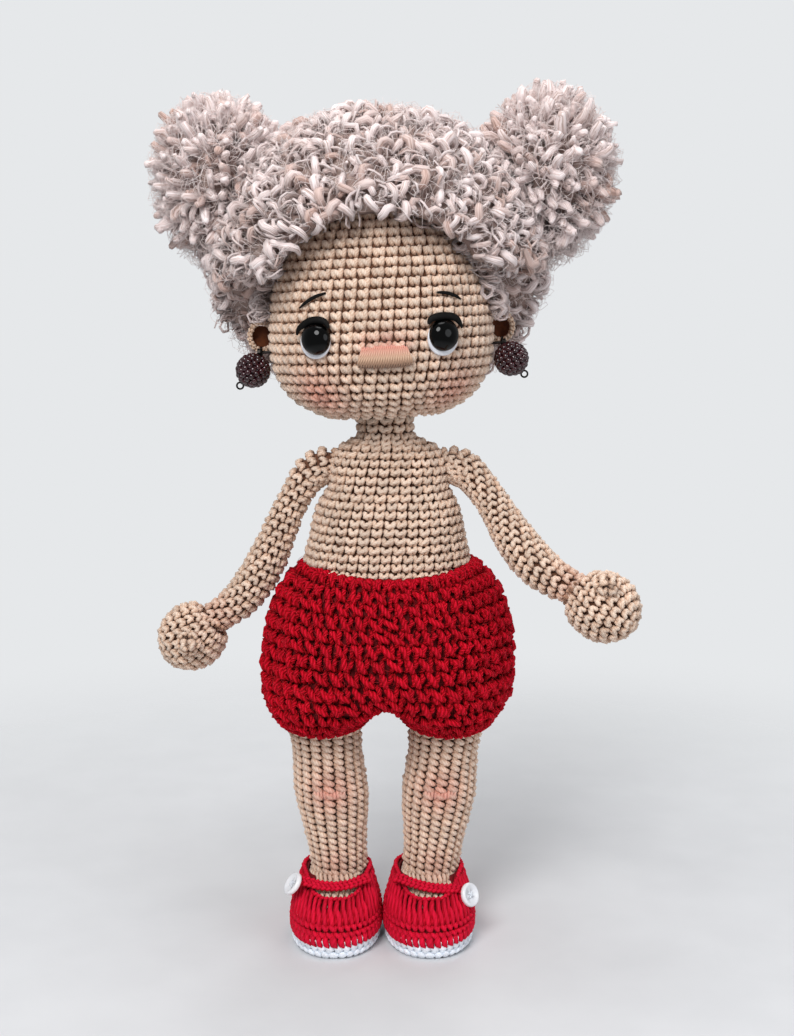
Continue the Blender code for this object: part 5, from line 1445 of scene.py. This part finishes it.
ear = {"side": 38.9, "back": 3.2, "rise": 39.9, "wide": 3.8, "tall": 4.4, "tube": 0.5, "stitches": 19}
earShapes = [squashed(shape, 1, 1, 0.42) for shape in barShapes]
for side, sign in sides.items():
    middle = np.array([sign * ear["side"], ear["back"], ear["rise"]])

    def rimForm(t, turn, middle=middle, sign=sign):
        # a round roll laid in an oval
        spin, roll = np.asarray(t) * 2 * math.pi, np.asarray(turn)
        reach = ear["tube"] * np.cos(roll)
        x = sign * (ear["wide"] + reach) * np.cos(spin)
        z = (ear["tall"] + reach) * np.sin(spin)
        return (middle + np.stack([x, ear["tube"] * np.sin(roll) * sign - 0.9 - x * sign * 0.12, z], 1)) * mm
    rimCells = [((i + 0.02) / ear["stitches"], (i + 0.98) / ear["stitches"], roll + 0.4 * (i % 2), 2.5)
                for i in range(ear["stitches"]) for roll in (0.0, math.pi * 2 / 3, math.pi * 4 / 3)]
    rimPiece = layOnForm("ear_rim_" + side, earShapes, rimForm, rimCells, headFrame, earYarn, seed=91)
    rimShell = wrapSheet("ear_roll_" + side, rimForm, 12, 40, earRoll, headFrame, 0.1 * mm)

    def cupForm(t, turn, middle=middle, sign=sign):
        angle = math.radians(1) + np.asarray(t) * math.radians(178)
        share = np.sin(angle)
        back = 0.3 - np.cos(angle) * np.where(angle < math.pi / 2, -0.9, 1.8)
        x = sign * (ear["wide"] + 0.2) * share * np.cos(turn)
        return (middle + np.stack([x, back, -sign * (ear["tall"] + 0.2) * share * np.sin(turn)], 1)) * mm
    cup = wrapSheet("ear_cup_" + side, cupForm, 24, 14, earInside, headFrame)
    for piece in (rimPiece, rimShell, cup):
        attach(piece, "head")
    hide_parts("ear_" + side)


# Earrings: seed beads in a spiral round a ball, threaded on a wire that hooks on the stud and ends in an eye

earring = {
    "beads": 94, "beadAt": 4.8, "beadWide": 1.05, "beadTall": 0.98, "core": 4.5,
    "shift": {"right": (0.2, -1.0, 1.6), "left": (-0.5, -1.0, 1.9)},
    "wire": 0.3, "hook": 1.75, "eye": 1.05, "eyeAt": (4.3, -4.9),
}
deselectAll()
bpy.ops.mesh.primitive_cube_add(size=1.15, location=(0, 0, 0))
beadBody = bpy.context.object
rounded = beadBody.modifiers.new("round", "SUBSURF")
rounded.levels = rounded.render_levels = 2
bpy.ops.object.modifier_apply(modifier="round")
beadCo = unit(np.array([v.co for v in beadBody.data.vertices]))
beadCo = beadCo * np.array([earring["beadWide"], earring["beadWide"], earring["beadTall"]]) * mm
beadShape = {"co": beadCo, "faces": np.array([list(p.vertices) for p in beadBody.data.polygons]),
             "uv": np.zeros((len(beadBody.data.loops), 2)), "deep": np.zeros(len(beadCo))}
bpy.data.objects.remove(beadBody)
for side, sign in sides.items():
    low, high = (np.array(corner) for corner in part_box("earring_ball_" + side))
    centre = (low + high) / 2 + np.array(earring["shift"][side]) * mm
    k = np.arange(earring["beads"]) + 0.5
    polar = np.arccos(1 - 2 * k / earring["beads"])
    turn = math.pi * (1 + math.sqrt(5)) * k
    out = np.stack([np.cos(turn) * np.sin(polar), np.sin(turn) * np.sin(polar), np.cos(polar)], 1)
    across = np.cross(out, np.array([0.0, 0.1, 1.0]))
    across /= np.linalg.norm(across, axis=1)[:, None] + 1e-9
    places = np.stack([centre + out * earring["beadAt"] * mm, across, np.cross(out, across), out], 1)
    beads = layCopies("beads_" + side, [beadShape], places, identity, beadGlass, seed=95)
    core = turnedPiece("bead_core_" + side, [(earring["core"] * math.cos(math.radians(a)) + 0.02,
                                              earring["core"] * math.sin(math.radians(a)))
                                             for a in range(-85, 90, 17)], beadGlass,
                       np.array(Matrix.Translation(centre)), 24)
    low, high = (np.array(corner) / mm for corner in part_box("earring_stud_" + side))
    pin = (low + high) / 2 + np.array([sign * 1.6, 0, 0])
    ball = centre / mm
    hook = [(*(pin + earring["hook"] * np.array([0, math.sin(a), -math.cos(a)])), earring["wire"])
            for a in np.linspace(2 * math.pi, 0.0, 13)]
    hook.append((*(ball + np.array([0, 0, 4.0])), earring["wire"]))
    eyeX, eyeZ = earring["eyeAt"]
    eyeMiddle = ball + np.array([sign * eyeX, 0, eyeZ])
    start = math.atan2(-eyeZ, -sign * eyeX)
    eye = [(*(ball + np.array([sign * eyeX, 0, eyeZ]) * 0.6), earring["wire"])]
    eye += [(*(eyeMiddle + earring["eye"] * np.array([math.cos(a), 0.02 * i, math.sin(a)])), earring["wire"])
            for i, a in enumerate(np.linspace(start, start + 2 * math.pi, 15))]
    wires = [threadPiece("earring_hook_" + side, hook, wireSteel, identity, 2, 4),
             threadPiece("earring_eye_" + side, eye, wireSteel, identity, 2, 4)]
    for piece in (beads, core, *wires):
        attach(piece, "earring_" + side)
    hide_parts("earring_ball_" + side)
    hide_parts("earring_wire_" + side)
print("ears and earrings")


# Knee ridges and thumbs

knee = {"heights": (48.2, 51.8), "pitch": 1.12, "legRadius": 12.2, "stitches": 10, "wave": 0.004}
kneeStitch = [[(0, -0.5, -0.4, 0.4), (0.05, -0.25, 0.7, 0.56), (0, 0.2, 0.8, 0.58), (-0.05, 0.5, -0.3, 0.4)]]
kneeShapes = [squashed(strandShape("kneeStitch", [[(x, y * 3.4, z, r) for x, y, z, r in kneeStitch[0]]]),
                       1 / 1.15, 1 / 3.6, mm)]
for side, sign in sides.items():
    form = legForm(sign)
    low, high = (shareAt(leg["stations"], z) for z in knee["heights"])
    step = knee["pitch"] / knee["legRadius"]
    cells = [(low + knee["wave"] * math.sin(k), high + knee["wave"] * math.sin(k),
              -math.pi / 2 + (k - (knee["stitches"] - 1) / 2) * step, step) for k in range(knee["stitches"])]
    ridge = layOnForm("knee_" + side, kneeShapes, form, cells, dollFrame, skinYarn, seed=97,
                      extra=withBlush([((sign * 18.4, -11, 50), 8, 0.6)]))
    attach(ridge, "torso")
    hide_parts("knee_ridge_" + side)

    palm = np.array([sign * arm["reach"], -arm["handDepth"] / 2 - 0.4, -arm["drop"]])

    def thumbForm(t, turn, palm=palm):
        angle = math.radians(-60) + np.asarray(t) * math.radians(148)
        return np.stack([(palm[0] + 3.1 * np.cos(angle) * np.cos(turn)) * mm, (palm[1] - 3.0 * np.sin(angle)) * mm,
                         (palm[2] + 3.1 * np.cos(angle) * np.sin(turn)) * mm], 1)
    thumbPlaces = stitchPlaces(thumbForm, 2.6 * mm, 3.0 * mm, 0.0, 1.0, seed=98, multiple=2)
    thumb = layCopies("thumb_" + side, crossShapes, thumbPlaces, armFrame[side], skinYarn, thick=0.7, seed=99,
                      extra=withBlush([]))
    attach(thumb, "arm_" + side)


# Finishes of the CAD nodes that stay

stays = {
    "earring_stud": wireSteel, "eye_washer": washerPlastic,
    "arm_stuffing": stuffing, "leg_stuffing": stuffing, "torso_stuffing": stuffing, "head_stuffing": stuffing,
    "neck_dowel": dowelWood, "shoulder_thread": linen, "insole": insoleFelt,
}
for start, material in stays.items():
    for body in bpy.data.objects:
        if body.type == "MESH" and body.name.startswith(start) and body.name in frame["nodes"]:
            if not body.material_slots:
                body.data.materials.append(material)
            for holder in body.material_slots:
                holder.material = material
print("finishes on the CAD nodes")


# Camera, light and floor

view = {"location": (4.08 * mm, -491.4 * mm, 215 * mm), "pitch": math.radians(8.5), "lens": 36 * 1500 / 794}
deselectAll()
bpy.ops.object.camera_add(location=view["location"], rotation=(math.pi / 2 - view["pitch"], 0, 0))
camera = bpy.context.object
camera.data.sensor_fit = "HORIZONTAL"
camera.data.sensor_width = 36
camera.data.lens = view["lens"]
camera.data.clip_start = 0.01
bpy.context.scene.camera = camera

studio = [("key", (-0.25, -0.7, 0.75), 0.45, 6.3, "#FFFFFF"), ("fill", (0.65, -0.55, 0.35), 0.6, 1.9, "#F6FAFF"),
          ("back", (0.2, 0.75, 0.7), 0.5, 2.2, "#FFFFFF"), ("top", (0, 0, 0.95), 0.5, 2.6, "#FFFFFF")]
aim = Vector((0, 0, 0.15))
for name, spot, size, power, colour in studio:
    bpy.ops.object.light_add(type="AREA", location=spot)
    lamp = bpy.context.object
    lamp.name = name + "_light"
    lamp.data.shape = "DISK"
    lamp.data.size = size
    lamp.data.energy = power
    lamp.data.color = linearColour(colour)[:3]
    lamp.rotation_euler = (aim - Vector(spot)).to_track_quat("-Z", "Y").to_euler()

backdrop = {"seen": "#E6E8EA", "seenStrength": 1.0, "ambient": "#F0F2F5", "ambientStrength": 0.36}
world = bpy.data.worlds.new("studioWorld")
bpy.context.scene.world = world
world.use_nodes = True
ambient = world.node_tree.nodes["Background"]
ambient.inputs["Color"].default_value = linearColour(backdrop["ambient"])
ambient.inputs["Strength"].default_value = backdrop["ambientStrength"]
seen = addNode(world, "Background", {"Color": linearColour(backdrop["seen"]), "Strength": backdrop["seenStrength"]})
path = addNode(world, "LightPath")
eitherRay = addNode(world, "Math", {"operation": "MAXIMUM"}, {0: (path, "Is Camera Ray"),
                                                             1: (path, "Is Transmission Ray")})
bothSkies = addNode(world, "MixShader", None, {0: (eitherRay, "Value"), 1: (ambient, "Background"),
                                               2: (seen, "Background")})
join(world, bothSkies, "Shader", world.node_tree.nodes["World Output"], "Surface")
bpy.context.scene.view_settings.view_transform = "Standard"

# the floor keeps the shadow near the shoes and thins out to the backdrop further off
deselectAll()
bpy.ops.mesh.primitive_circle_add(vertices=96, radius=1.2, fill_type="NGON", location=(0, 0, 0))
floor = bpy.context.object
floor.name = "floor"
paleFloor = plainMaterial("paleFloor", "#D4D5D7", "#D7D8DA", 40, 0.9, bump=0.0, Specular_IOR_Level=0.0)
spot = addNode(paleFloor, "TexCoord")
reach = addNode(paleFloor, "VectorMath", {"operation": "LENGTH"}, {0: (spot, "Object")})
fade = addNode(paleFloor, "MapRange", {"interpolation_type": "SMOOTHSTEP", "From Min": 0.12, "From Max": 0.42},
               {"Value": (reach, "Value")})
clear = addNode(paleFloor, "BsdfTransparent")
thinned = addNode(paleFloor, "MixShader", None, {0: (fade, "Result"), 2: (clear, "BSDF")})
join(paleFloor, paleFloor.node_tree.nodes["Principled BSDF"], "BSDF", thinned, 1)
join(paleFloor, thinned, "Shader", paleFloor.node_tree.nodes["Material Output"], "Surface")
floor.data.materials.append(paleFloor)
